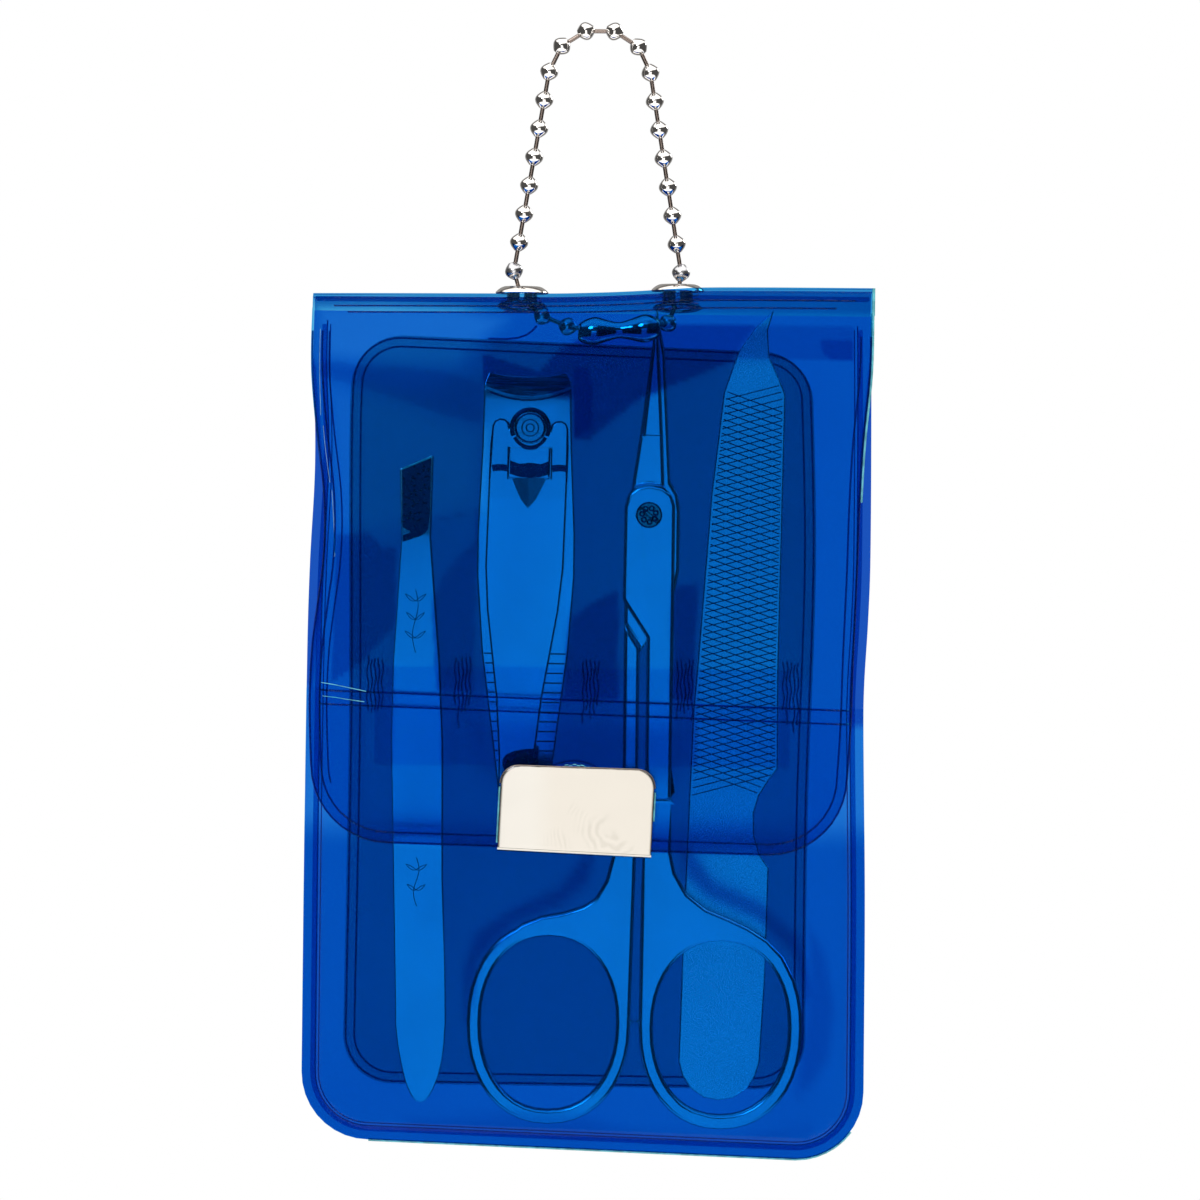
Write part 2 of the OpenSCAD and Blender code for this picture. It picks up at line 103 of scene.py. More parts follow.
def through(stations: Sequence[Flat], at: float) -> float:
    """A smooth line through stations of (place, value), read at one place.

    Args:
        stations: Pairs in rising order of place.
        at: The place to read.

    Returns:
        The value there, held level beyond the first and last station.
    """
    if at <= stations[0][0]:
        return stations[0][1]
    if at >= stations[-1][0]:
        return stations[-1][1]
    i = next(k for k in range(len(stations) - 1) if at <= stations[k + 1][0])
    (x0, v0), (x1, v1) = stations[i], stations[i + 1]
    before = stations[max(i - 1, 0)]
    after = stations[min(i + 2, len(stations) - 1)]
    span = x1 - x0
    m0 = (v1 - before[1]) / (x1 - before[0]) * span
    m1 = (after[1] - v0) / (after[0] - x0) * span
    t = (at - x0) / span
    return (
        (2 * t**3 - 3 * t**2 + 1) * v0
        + (t**3 - 2 * t**2 + t) * m0
        + (3 * t**2 - 2 * t**3) * v1
        + (t**3 - t**2) * m1
    )


def arc(middle: Flat, r: float, start: float, stop: float, steps: int) -> list[Flat]:
    """Points on an arc.

    Args:
        middle: The arc's middle.
        r: Its radius.
        start: The angle at which it starts, in degrees.
        stop: The angle at which it ends.
        steps: How many steps it has.

    Returns:
        The points, one more than there are steps.
    """
    turns = [math.radians(lerp(start, stop, k / steps)) for k in range(steps + 1)]
    return [(middle[0] + r * math.cos(a), middle[1] + r * math.sin(a)) for a in turns]


def mesh_piece(name: str, points: Sequence[Point], faces: Sequence[Sequence[int]] = (),
               edges: Sequence[Sequence[int]] = ()) -> Piece:
    """Makes an object from points in millimetres.

    Args:
        name: The piece's name.
        points: The mesh's points.
        faces: The mesh's faces, as indices of points.
        edges: Loose edges, for a path.

    Returns:
        The new object, at the origin.
    """
    mesh = bpy.data.meshes.new(name)
    mesh.from_pydata([(x * MM, y * MM, z * MM) for x, y, z in points], edges, faces)
    mesh.update()
    return linked(bpy.data.objects.new(name, mesh))


def linked(thing: Piece) -> Piece:
    """Puts an object into the scene and returns it."""
    bpy.context.scene.collection.objects.link(thing)
    return thing


@contextmanager
def opened(mesh: bpy.types.Mesh) -> Iterator[bmesh.types.BMesh]:
    """Opens a mesh for edits and writes them back at the end.

    Args:
        mesh: The mesh to edit.

    Yields:
        Its editable copy.
    """
    work = bmesh.new()
    work.from_mesh(mesh)
    yield work
    work.to_mesh(mesh)
    work.free()


def modify(piece: Piece, kind: str, **settings: object) -> bpy.types.Modifier:
    """Adds a modifier.

    Args:
        piece: The piece that gets it.
        kind: The modifier's type name.
        **settings: Its properties.

    Returns:
        The modifier.
    """
    made = piece.modifiers.new(kind.lower(), kind)
    for key, value in settings.items():
        setattr(made, key, value)
    return made


def freeze(piece: Piece) -> Piece:
    """Turns a piece's modifiers into its plain mesh.

    Args:
        piece: The piece.

    Returns:
        The same piece.
    """
    graph = bpy.context.evaluated_depsgraph_get()
    mesh = bpy.data.meshes.new_from_object(piece.evaluated_get(graph))
    piece.modifiers.clear()
    piece.data = mesh
    mesh.name = piece.name
    return piece


def soften(piece: Piece, degrees: float = 35.0) -> Piece:
    """Shades a piece smooth.

    Args:
        piece: The piece.
        degrees: Edges where its faces turn by more than this stay sharp.

    Returns:
        The same piece.
    """
    piece.data.shade_smooth()
    piece.data.set_sharp_from_angle(angle=math.radians(degrees))
    return piece


def tidy_mesh(piece: Piece) -> Piece:
    """Merges doubles in a closed piece and turns its faces outwards.

    Args:
        piece: The piece.

    Returns:
        The same piece.
    """
    with opened(piece.data) as work:
        bmesh.ops.remove_doubles(work, verts=work.verts, dist=0.002 * MM)
        bmesh.ops.recalc_face_normals(work, faces=work.faces)
    return piece


def bevel(piece: Piece, width: float, segments: int = 2, degrees: float = 32.0) -> Piece:
    """Rounds a piece's sharp edges and keeps its flat faces flat in the shading.

    Args:
        piece: A closed piece.
        width: The width of the rounding.
        segments: How many strips it has.
        degrees: Edges that turn by less stay as they are.

    Returns:
        The piece, with a plain mesh.
    """
    piece.data.shade_smooth()
    modify(piece, "BEVEL", width=width * MM, segments=segments, limit_method="ANGLE",
           angle_limit=math.radians(degrees), use_clamp_overlap=False)
    modify(piece, "WEIGHTED_NORMAL", keep_sharp=True)
    return freeze(piece)


def shadow_sides(piece: Piece, degrees: float = 30.0) -> Piece:
    """Gives a tool's side faces its second finish, a painted shade, but not those that look up.

    Args:
        piece: The tool.
        degrees: A face whose normal is nearer than this to the front or the back is no side.

    Returns:
        The same piece.
    """
    limit, upward = math.cos(math.radians(degrees)), 0.5
    for face in piece.data.polygons:
        if abs(face.normal.y) < limit and face.normal.z < upward:
            face.material_index = 1
    return piece


def prism(name: str, outline: Sequence[Flat], face: Callable[[float], float],
          thickness: float) -> Piece:
    """A plate with an outline in the front view.

    Args:
        name: The piece's name.
        outline: Its corners as (x, z), round it in order.
        face: The depth in y of its front at a height z.
        thickness: Its thickness, behind the front.

    Returns:
        The closed plate.
    """
    count = len(outline)
    points = [(x, face(z), z) for x, z in outline]
    points += [(x, face(z) + thickness, z) for x, z in outline]
    faces: list[Sequence[int]] = [tuple(range(count)), tuple(range(2 * count - 1, count - 1, -1))]
    faces += [(k, (k + 1) % count, count + (k + 1) % count, count + k) for k in range(count)]
    return tidy_mesh(mesh_piece(name, points, faces))


def from_node(node: str, name: str) -> Piece:
    """A merged copy of a CAD node, with its flat faces made whole.

    Args:
        node: The CAD node's name.
        name: The new piece's name.

    Returns:
        The copy, which still has to ride on a body.
    """
    piece = linked(bpy.data.objects.new(name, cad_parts[node].data.copy()))
    piece.data.materials.clear()
    with opened(piece.data) as work:
        bmesh.ops.remove_doubles(work, verts=work.verts, dist=0.0005 * MM)
        bmesh.ops.dissolve_limit(
            work, angle_limit=math.radians(0.6), verts=work.verts, edges=work.edges
        )
    return piece


def cut(piece: Piece, cutters: Sequence[Piece]) -> Piece:
    """Cuts closed cutters out of a piece, and removes the cutters.

    Args:
        piece: The piece.
        cutters: The cutters.

    Returns:
        The piece, with a plain mesh.
    """
    for cutter in cutters:
        modify(piece, "BOOLEAN", operation="DIFFERENCE", solver="EXACT", object=cutter)
    freeze(piece)
    for cutter in cutters:
        bpy.data.objects.remove(cutter)
    return piece


def punch(sheet: Piece) -> None:
    """Cuts the holes of the two eyelets into a sheet."""
    hole = ((0.01, -3), (1.75, -3), (1.75, 3), (0.01, 3))
    soften(cut(sheet, [spun("hole", hole, (x, 0, 0), sides=40) for x in EYELETS_X]), 50)


def thicken(piece: Piece, thickness: float = FILM_T) -> Piece:
    """Gives a sheet its thickness, behind its outer face."""
    modify(piece, "SOLIDIFY", thickness=thickness * MM, offset=-1, use_even_offset=True)
    return soften(freeze(piece), 50)


def grid_faces(rows: int, cols: int, ring: bool = False,
               loop: bool = False) -> list[Sequence[int]]:
    """Faces of a grid of points that was laid row by row.

    Args:
        rows: How many rows of points there are.
        cols: How many points a row has.
        ring: Whether each row closes on itself.
        loop: Whether the last row joins the first.

    Returns:
        Four-sided faces, which look to -Y where rows run down and columns to +X.
    """
    return [
        (i * cols + j, (i + 1) % rows * cols + j, (i + 1) % rows * cols + (j + 1) % cols,
         i * cols + (j + 1) % cols)
        for i in range(rows if loop else rows - 1) for j in range(cols if ring else cols - 1)
    ]


def tube(name: str, points: Sequence[Point], rows: int) -> Piece:
    """A closed tube.

    Args:
        name: The piece's name.
        points: Its points, one ring after another.
        rows: How many rings there are.

    Returns:
        The piece, with both ends closed and its faces outwards.
    """
    total = len(points)
    cols = total // rows
    faces = grid_faces(rows, cols, ring=True)
    faces += [tuple(range(cols)), tuple(range(total - 1, total - cols - 1, -1))]
    return tidy_mesh(mesh_piece(name, points, faces))


def spun(name: str, profile: Sequence[Flat], at: Point, axis: str = "z",
         sides: int = 64) -> Piece:
    """A closed shape of revolution.

    Args:
        name: The piece's name.
        profile: A closed loop of (radius, height along the axis).
        at: The middle of the shape.
        axis: "z" for an upright axis, "y" for one that looks at the front.
        sides: How many steps it has round its axis.

    Returns:
        The piece, with its faces outwards.
    """
    points: list[Point] = []
    for r, h in profile:
        for c, s in arc((0.0, 0.0), r, 0, 360, sides)[:-1]:
            y, z = (s, h) if axis == "z" else (h, s)
            points.append((at[0] + c, at[1] + y, at[2] + z))
    faces = grid_faces(len(profile), sides, ring=True, loop=True)
    return soften(tidy_mesh(mesh_piece(name, points, faces)))


def joined(name: str, pieces: Sequence[Piece]) -> Piece:
    """Joins pieces that have the same finish slots.

    Args:
        name: The new piece's name.
        pieces: The pieces, which are removed.

    Returns:
        The one piece.
    """
    work = bmesh.new()
    for piece in pieces:
        work.from_mesh(piece.data)
    mesh = bpy.data.meshes.new(name)
    work.to_mesh(mesh)
    work.free()
    for piece in pieces:
        bpy.data.objects.remove(piece)
    return linked(bpy.data.objects.new(name, mesh))


# Finishes


class Wiring:
    """Adds nodes to a node tree and joins them."""

    def __init__(self, tree: bpy.types.NodeTree) -> None:
        """Takes the tree to work in."""
        self.tree = tree

    def node(self, kind: str, inputs: dict[int | str, object] | None = None,
             **settings: object) -> bpy.types.Node:
        """Adds a node.

        Args:
            kind: The node's type name.
            inputs: What its inputs get, by number or name: a plain value or an output to join.
                A plain colour has three numbers.
            **settings: Its properties, such as operation.

        Returns:
            The node.
        """
        made = self.tree.nodes.new(kind)
        for key, value in settings.items():
            setattr(made, key, value)
        for key, value in (inputs or {}).items():
            socket = made.inputs[key]
            if isinstance(value, Socket):
                self.tree.links.new(value, socket)
            else:
                socket.default_value = (*value, 1.0) if socket.type == "RGBA" else value
        return made

    def out(self, kind: str, inputs: dict[int | str, object] | None = None,
            **settings: object) -> Socket:
        """Adds a node, as above, and returns its first output."""
        return self.node(kind, inputs, **settings).outputs[0]

    def math(self, operation: str, *values: object) -> Socket:
        """Adds a Math node for one or two values, numbers or outputs."""
        return self.out("ShaderNodeMath", dict(enumerate(values)), operation=operation)

    def ramp(self, value: Socket, low: float, high: float, out_low: float = 0.0,
             out_high: float = 1.0) -> Socket:
        """Maps a value softly from one range to another."""
        inputs = dict(enumerate((value, low, high, out_low, out_high)))
        return self.out("ShaderNodeMapRange", inputs, interpolation_type="SMOOTHSTEP")

    def noise(self, scale: float, detail: float = 3.0,
              stretch: Point = (1.0, 1.0, 1.0)) -> Socket:
        """Adds noise that is fixed to the object.

        Args:
            scale: How many features there are in a metre.
            detail: The number of octaves.
            stretch: How the noise is scaled along each axis.

        Returns:
            The noise's value.
        """
        place = self.node("ShaderNodeTexCoord").outputs["Object"]
        place = self.out("ShaderNodeMapping", {"Vector": place, "Scale": stretch})
        return self.out("ShaderNodeTexNoise", {"Vector": place, "Scale": scale, "Detail": detail})

    def bump(self, height: Socket, strength: float, distance: float) -> Socket:
        """Turns a height in metres into a normal."""
        inputs = {"Height": height, "Strength": strength, "Distance": distance}
        return self.out("ShaderNodeBump", inputs)

    def colour(self, share: Socket, a: Point | Socket, b: Point | Socket) -> Socket:
        """A colour that goes from a to b with a varying share."""
        return self.node("ShaderNodeMix", {0: share, 6: a, 7: b}, data_type="RGBA").outputs[2]

    def mix(self, share: float | Socket, a: Socket, b: Socket) -> Socket:
        """Mixes two shaders, with a share of b."""
        return self.out("ShaderNodeMixShader", {0: share, 1: a, 2: b})

    def metal(self, colour: Socket, roughness: Socket, normal: Socket) -> Socket:
        """A metal's shader."""
        inputs = {"Metallic": 1.0, "Base Color": colour, "Roughness": roughness, "Normal": normal}
        return self.out("ShaderNodeBsdfPrincipled", inputs)


def wired(block: Material | bpy.types.World) -> Wiring:
    """Empties the node tree of a material or a world.

    Args:
        block: The material or world.

    Returns:
        The wiring of its tree.
    """
    block.use_nodes = True
    block.node_tree.nodes.clear()
    return Wiring(block.node_tree)


@dataclass(frozen=True)
class Finish:
    """A finish, which builds its own node material."""

    name: str

    def surface(self, w: Wiring) -> Socket:
        """Adds the nodes of the surface and returns their shader."""
        raise NotImplementedError

    def material(self) -> Material:
        """Builds the material.

        Returns:
            The material.
        """
        material = bpy.data.materials.new(self.name)
        w = wired(material)
        w.node("ShaderNodeOutputMaterial", {"Surface": self.surface(w)})
        return material


@dataclass(frozen=True)
class ClearFilm(Finish):
    """Clear tinted vinyl film: light passes, a little scatters, and slants shine.

    The tint is what one of a sheet's two faces lets through. The vertex attribute "shade" darkens
    the film in patches: where two sheets cling to each other, along the fold, and as painted shade
    beside the tools. "thin" clears it in patches, so that what lies behind looks brighter.
    """

    tint: Point = (0.19, 0.60, 0.84)
    cling_shade_tint: Point = (0.08, 0.273, 0.607)
    haze: float = 0.03
    shine: float = 0.05
    cleared_tint: Point = (0.76, 0.94, 0.99)
    haze_colour: Point = (0.004, 0.20, 0.60)
    shine_colour: Point = (0.80, 0.90, 1.0)
    roughness: float = 0.15

    def surface(self, w: Wiring) -> Socket:
        """Adds the nodes of the film.

        Args:
            w: The wiring of its material.

        Returns:
            The shader.
        """
        shade, thin = (w.node("ShaderNodeAttribute", attribute_name=name).outputs["Fac"]
                       for name in ("shade", "thin"))
        cloud = w.ramp(w.noise(42.0, 2.0, (1.0, 0.3, 0.7)), 0.40, 0.75, 0.0, 0.06)
        share = w.math("MINIMUM", w.math("ADD", shade, cloud), 1.0)
        tint = w.colour(thin, w.colour(share, self.tint, self.cling_shade_tint), self.cleared_tint)
        clear = w.out("ShaderNodeBsdfTransparent", {"Color": tint})
        back, forth = (w.out(f"ShaderNodeBsdf{kind}", {"Color": self.haze_colour})
                       for kind in ("Diffuse", "Translucent"))
        milk = w.math("MULTIPLY", w.math("SUBTRACT", 1.0, w.math("MULTIPLY", share, 0.65)),
                      w.math("SUBTRACT", 1.0, w.math("MULTIPLY", thin, 0.6)))
        body = w.mix(w.math("MULTIPLY", milk, self.haze), clear, w.mix(0.5, back, forth))
        normal = w.bump(w.noise(260.0, 2.0), 0.2, 0.00008)
        facing = w.node("ShaderNodeLayerWeight", {"Blend": 0.5, "Normal": normal})
        slant = w.math("POWER", facing.outputs["Facing"], 2.2)
        gloss = w.out("ShaderNodeBsdfGlossy", {
            "Color": self.shine_colour, "Roughness": self.roughness, "Normal": normal})
        return w.mix(w.math("MULTIPLY", slant, self.shine), body, gloss)


@dataclass(frozen=True)
class LitEdge(Finish):
    """A cut edge of film with a painted highlight: its glow is painted into its colour."""

    colour: Point = (0.22, 0.78, 0.86)
    clear_share: float = 0.25

    def surface(self, w: Wiring) -> Socket:
        """Adds the nodes of the edge.

        Args:
            w: The wiring of its material.

        Returns:
            The shader.
        """
        darker = tuple(0.6 * c for c in self.colour)
        speckled = w.colour(w.ramp(w.noise(900.0, 2.0), 0.35, 0.65), darker, self.colour)
        glow = w.out("ShaderNodeBsdfPrincipled", {"Base Color": speckled, "Roughness": 0.25})
        clear = w.out("ShaderNodeBsdfTransparent", {"Color": self.colour})
        return w.mix(self.clear_share, glow, clear)


class Grain(Enum):
    """Which way the marks of polishing run on a metal, as the stretch of their noise."""

    EVEN = (1.0, 1.0, 1.0)
    ACROSS = (0.06, 1.0, 1.0)


@dataclass(frozen=True)
class Metal(Finish):
    """A bare or plated metal with its polish and its small marks."""

    colour: Point
    roughness: float
    grain_depth: float = 1e-6
    grain_scale: float = 2500.0
    grain: Grain = Grain.EVEN

    def surface(self, w: Wiring) -> Socket:
        """Adds the nodes of the metal.

        Args:
            w: The wiring of its material.

        Returns:
            The shader.
        """
        darker = tuple(0.93 * c for c in self.colour)
        colour = w.colour(w.ramp(w.noise(120.0, 3.0), 0.3, 0.7), darker, self.colour)
        marks = w.noise(self.grain_scale, 4.0, self.grain.value)
        roughness = w.ramp(marks, 0.3, 0.7, self.roughness * 0.8, self.roughness * 1.25)
        return w.metal(colour, roughness, w.bump(marks, 0.35, self.grain_depth))


@dataclass(frozen=True)
class HandledPlate(Finish):
    """Bright plate metal with faint finger marks: bands of fine wavy ridges, in soft patches."""

    colour: Point = (0.545, 0.515, 0.465)
    marked: Point = (0.52, 0.49, 0.44)
    # Towards its left end the plate has no finger marks and a lighter tone
    left_tone: Point = (0.56, 0.54, 0.50)
    roughness: float = 0.16

    def surface(self, w: Wiring) -> Socket:
        """Adds the nodes of the plate.

        Args:
            w: The wiring of its material.

        Returns:
            The shader.
        """
        place = w.node("ShaderNodeTexCoord").outputs["Object"]
        moved = w.out("ShaderNodeMapping", {"Vector": place, "Location": (-0.003, 0.0, 0.062)})
        whorl = w.node("ShaderNodeTexWave", {
            "Vector": moved, "Scale": 900.0, "Distortion": 6.0, "Detail Scale": 0.6,
        }, wave_type="RINGS", rings_direction="SPHERICAL")
        patch = w.ramp(w.noise(170.0, 2.0), 0.48, 0.66)
        share = w.math("MULTIPLY", patch, whorl.outputs["Fac"])
        handled = w.colour(share, self.colour, self.marked)
        x = w.out("ShaderNodeSeparateXYZ", {0: place})
        tone = w.colour(w.ramp(x, -0.0068, -0.0030), self.left_tone, handled)
        roughness = w.ramp(share, 0.0, 1.0, self.roughness, self.roughness + 0.04)
        return w.metal(tone, roughness, w.bump(w.noise(300.0, 2.0), 0.2, 0.00003))


@dataclass(frozen=True)
class PaleFloor(Finish):
    """A plain pale paint."""

    dark: Point = (0.84, 0.84, 0.84)
    pale: Point = (0.88, 0.88, 0.88)

    def surface(self, w: Wiring) -> Socket:
        """Adds the nodes of the paint and returns their shader."""
        clouds = w.colour(w.noise(6.0), self.dark, self.pale)
        return w.out("ShaderNodeBsdfPrincipled", {"Base Color": clouds, "Roughness": 0.9})


class Finishes:
    """Every finish of the object, each made once."""

    def __init__(self) -> None:
        """Builds the materials."""
        rough = 4e-6
        self.film = ClearFilm("clear_blue_film").material()
        self.back = ClearFilm("back_blue_film", (0.17, 0.475, 0.845),
                              (0.10, 0.275, 0.693)).material()
        self.card = ClearFilm("card_blue_film", (0.50, 0.755, 0.765),
                              (0.40, 0.69, 0.685)).material()
        self.weld = ClearFilm("welded_blue_film", tint=(0.05, 0.34, 0.62), haze=0.06,
                              shine=0.5).material()
        # Painted highlights: the glow of cut film edges and of small glints, painted into their colour
        self.edge = LitEdge("lit_film_edge").material()
        self.glint = LitEdge("film_glint", (0.36, 0.62, 0.84), 0.45).material()
        self.plate = HandledPlate("handled_plate").material()
        self.bead = Metal("nickel_bead", (0.86, 0.83, 0.80), 0.05, rough).material()
        self.wire = Metal("nickel_wire", (0.30, 0.24, 0.21), 0.3, rough).material()
        self.eyelet = Metal("nickel_eyelet", (0.88, 0.83, 0.78), 0.10, rough).material()
        self.snap = Metal("snap_brass", (0.78, 0.80, 0.74), 0.18, rough).material()
        self.rim = Metal("plate_rim", (0.30, 0.25, 0.21), 0.3, rough).material()
        # Painted shade: a dark steel for pressed lines, ridges and ornament, dark as their grooves
        # would be in shade
        self.pressed_line_shade = Metal("painted_shade_lines", (0.10, 0.12, 0.18), 0.35, rough).material()
        # Painted shade: a dark steel for the file's rows of teeth
        self.teeth_shade = Metal("painted_shade_teeth", (0.11, 0.13, 0.18), 0.4, rough).material()
        self.satin = Metal("satin_steel", (0.83, 0.80, 0.86), 0.20, grain_scale=9000.0).material()
        self.blade = Metal("blade_steel", (0.53, 0.575, 0.53), 0.2).material()
        self.screw = Metal("screw_steel", (0.30, 0.42, 0.36), 0.3).material()
        # Painted shade: a near-black steel for the tools' side faces and outer rounding
        self.side = Metal("painted_shade_side_steel", (0.04, 0.05, 0.10), 0.25).material()
        # Painted shade: a near-black steel for dark facets, gaps, grooves and outlines on the tools
        self.shadow = Metal("painted_shade_steel", (0.03, 0.04, 0.11), 0.3).material()
        self.ground = Metal("ground_steel", (0.66, 0.66, 0.68), 0.25,
                            grain=Grain.ACROSS).material()
        # The jaw's ground lip: its brushed grain is real, and its dark colour is painted shade
        self.lip = Metal("ground_lip_painted_shade", (0.26, 0.30, 0.34), 0.25, 6e-6, 4000.0,
                         Grain.ACROSS).material()
        self.file_face = Metal("file_steel", (0.87, 0.85, 0.87), 0.28, 4e-7, 9000.0).material()


def dress(piece: Piece, *materials: Material) -> Piece:
    """Gives a piece its finishes.

    Args:
        piece: The piece.
        *materials: The finishes, in slot order.

    Returns:
        The same piece.
    """
    piece.data.materials.clear()
    for material in materials:
        piece.data.materials.append(material)
    return piece


def settle(piece: Piece, body: str, slot: str, *nodes: str) -> Piece:
    """Puts a finished piece on its body and hides the CAD nodes that it replaces.

    Args:
        piece: The finished piece.
        body: The CAD body it rides on.
        slot: Not used.
        *nodes: The CAD nodes that it replaces.

    Returns:
        The piece.
    """
    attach(piece, body)
    if nodes:
        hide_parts(*nodes)
    log.info("%s rides on %s, %d faces", piece.name, body, len(piece.data.polygons))
    return piece


# Geometry Nodes trees


class PieceTree:
    """A tree that builds on a piece's points or paths and gives the result a finish."""

    def __init__(self, name: str, inputs: dict[str, str]) -> None:
        """Makes the tree with its inputs.

        Args:
            name: The tree's name.
            inputs: The kinds of its own inputs, by name.
        """
        self.tree = bpy.data.node_groups.new(name, "GeometryNodeTree")
        self.identifiers: dict[str, str] = {}
        face = self.tree.interface
        for label, kind in {"Geometry": "Geometry", **inputs, "Finish": "Material"}.items():
            made = face.new_socket(label, in_out="INPUT", socket_type=f"NodeSocket{kind}")
            self.identifiers[label] = made.identifier
        face.new_socket("Geometry", in_out="OUTPUT", socket_type="NodeSocketGeometry")
        self.wiring = Wiring(self.tree)
        self.given = self.wiring.node("NodeGroupInput")

    def end(self, geometry: Socket) -> None:
        """Ends the tree: makes all instances real and gives them the finish.

        Args:
            geometry: What the tree has built.
        """
        w = self.wiring
        real = w.out("GeometryNodeRealizeInstances", {"Geometry": geometry})
        finish = self.given.outputs["Finish"]
        painted = w.out("GeometryNodeSetMaterial", {"Geometry": real, "Material": finish})
        w.node("NodeGroupOutput", {"Geometry": painted})

    def run(self, piece: Piece, degrees: float, values: dict[str, object]) -> Piece:
        """Runs the tree on a piece.

        Args:
            piece: The piece.
            degrees: Edges that turn by more than this stay sharp.
            values: The values of the tree's inputs, by name.

        Returns:
            The piece, with a plain mesh.
        """
        nodes = modify(piece, "NODES", node_group=self.tree)
        for label, value in values.items():
            nodes[self.identifiers[label]] = value
        return soften(freeze(piece), degrees)


class PathRidge(PieceTree):
    """A tree that lays a round bar of one size along every path of a piece."""

    def __init__(self) -> None:
        """Builds the tree, with inputs for the bar's radius and its number of sides."""
        super().__init__("bar_along_a_path", {"Radius": "Float", "Sides": "Int"})
        w, given = self.wiring, self.given.outputs
        path = w.out("GeometryNodeMeshToCurve", {"Mesh": given["Geometry"]})
        ring = w.out("GeometryNodeCurvePrimitiveCircle", {
            "Radius": given["Radius"], "Resolution": given["Sides"]})
        self.end(w.out("GeometryNodeCurveToMesh", {
            "Curve": path, "Profile Curve": ring, "Fill Caps": True}))

    def lay(self, name: str, paths: Sequence[Sequence[Point]], radius: float,
            finish: Material, sides: int = 8) -> Piece:
        """Lays bars along paths.

        Args:
            name: The new piece's name.
            paths: The paths, each a list of points.
            radius: The bar's radius.
            finish: The bar's finish.
            sides: How many sides the bar has.

        Returns:
            A plain mesh piece.
        """
        points: list[Point] = []
        edges: list[tuple[int, int]] = []
        for path in paths:
            start = len(points)
            points.extend(path)
            edges.extend((start + k, start + k + 1) for k in range(len(path) - 1))
        piece = mesh_piece(name, points, (), edges)
        return self.run(piece, 60, {"Radius": radius * MM, "Sides": sides, "Finish": finish})


class BeadRow(PieceTree):
    """A tree that sets a bead on every point of a path, turned along the vector "aim"."""

    def __init__(self) -> None:
        """Builds the tree, with inputs for the bead's radius and where its mouths are."""
        super().__init__("beads_on_points", {"Radius": "Float", "Mouth angle": "Float"})
        w, given = self.wiring, self.given.outputs
        line = w.out("GeometryNodeCurvePrimitiveLine", {"End": (0.0, 0.0, MM)})
        steps = w.out("GeometryNodeResampleCurve", {"Curve": line, "Count": 19})
        along = w.node("GeometryNodeSplineParameter").outputs["Factor"]
        turn = w.math("MULTIPLY", w.math("SUBTRACT", along, 0.5), 2.0)
        angle = w.math("MULTIPLY", turn, given["Mouth angle"])
        height, girth = (w.math("MULTIPLY", w.math(wave, angle), given["Radius"])
                         for wave in ("SINE", "COSINE"))
        place = w.out("ShaderNodeCombineXYZ", {"Z": height})
        upright = w.out("GeometryNodeSetPosition", {"Geometry": steps, "Position": place})
        ring = w.out("GeometryNodeCurvePrimitiveCircle", {"Radius": 1.0, "Resolution": 28})
        bead = w.out("GeometryNodeCurveToMesh", {
            "Curve": upright, "Profile Curve": ring, "Scale": girth, "Fill Caps": True})
        aim = w.out("GeometryNodeInputNamedAttribute", {"Name": "aim"}, data_type="FLOAT_VECTOR")
        turned = w.out("FunctionNodeAlignRotationToVector", {"Vector": aim}, axis="Z")
        self.end(w.out("GeometryNodeInstanceOnPoints", {
            "Points": given["Geometry"], "Instance": bead, "Rotation": turned}))

    def set(self, name: str, places: Sequence[tuple[Point, Point]], radius: float,
            mouth_degrees: float, finish: Material) -> Piece:
        """Sets beads.

        Args:
            name: The new piece's name.
            places: For each bead its middle and the way its hole runs.
            radius: The bead's radius.
            mouth_degrees: How far round from its waist the bead goes before its mouth.
            finish: The bead's finish.

        Returns:
            A plain mesh piece.
        """
        piece = mesh_piece(name, [p for p, _ in places])
        aim = piece.data.attributes.new("aim", "FLOAT_VECTOR", "POINT")
        for k, (_, way) in enumerate(places):
            aim.data[k].vector = way
        return self.run(piece, 40, {"Radius": radius * MM, "Finish": finish,
                                    "Mouth angle": math.radians(mouth_degrees)})


@dataclass
class Trees:
    """The Geometry Nodes trees, each made once."""

    ridge: PathRidge = field(default_factory=PathRidge)
    beads: BeadRow = field(default_factory=BeadRow)


@dataclass
class Assembly:
    """What every sub-assembly has: finishes, trees and the slot of its plain steel or film."""

    finishes: Finishes
    trees: Trees
    slot: ClassVar[str] = "tool_steel"

    def line(self, name: str, body: str, paths: Sequence[Sequence[Point]], radius: float,
             finish: Material, sides: int = 8, slot: str = "") -> None:
        """Lays bars along paths, as a piece of their own on a body."""
        settle(self.trees.ridge.lay(name, paths, radius, finish, sides), body, slot or self.slot)

    def rounded(self, node: str, name: str, body: str, finish: Material, width: float,
                segments: int = 2, degrees: float = 32.0) -> None:
        """Makes a tool's part from its CAD node, with rounded edges and sides in painted shade.

        Args:
            node: The CAD node.
            name: The piece's name.
            body: The body it rides on.
            finish: Its finish, apart from the sides.
            width: The width of the rounding.
            segments: How many strips the rounding has.
            degrees: Edges that turn by less stay as they are.
        """
        piece = shadow_sides(bevel(from_node(node, name), width, segments, degrees))
        settle(dress(piece, finish, self.finishes.side), body, self.slot, node)


# Film panels


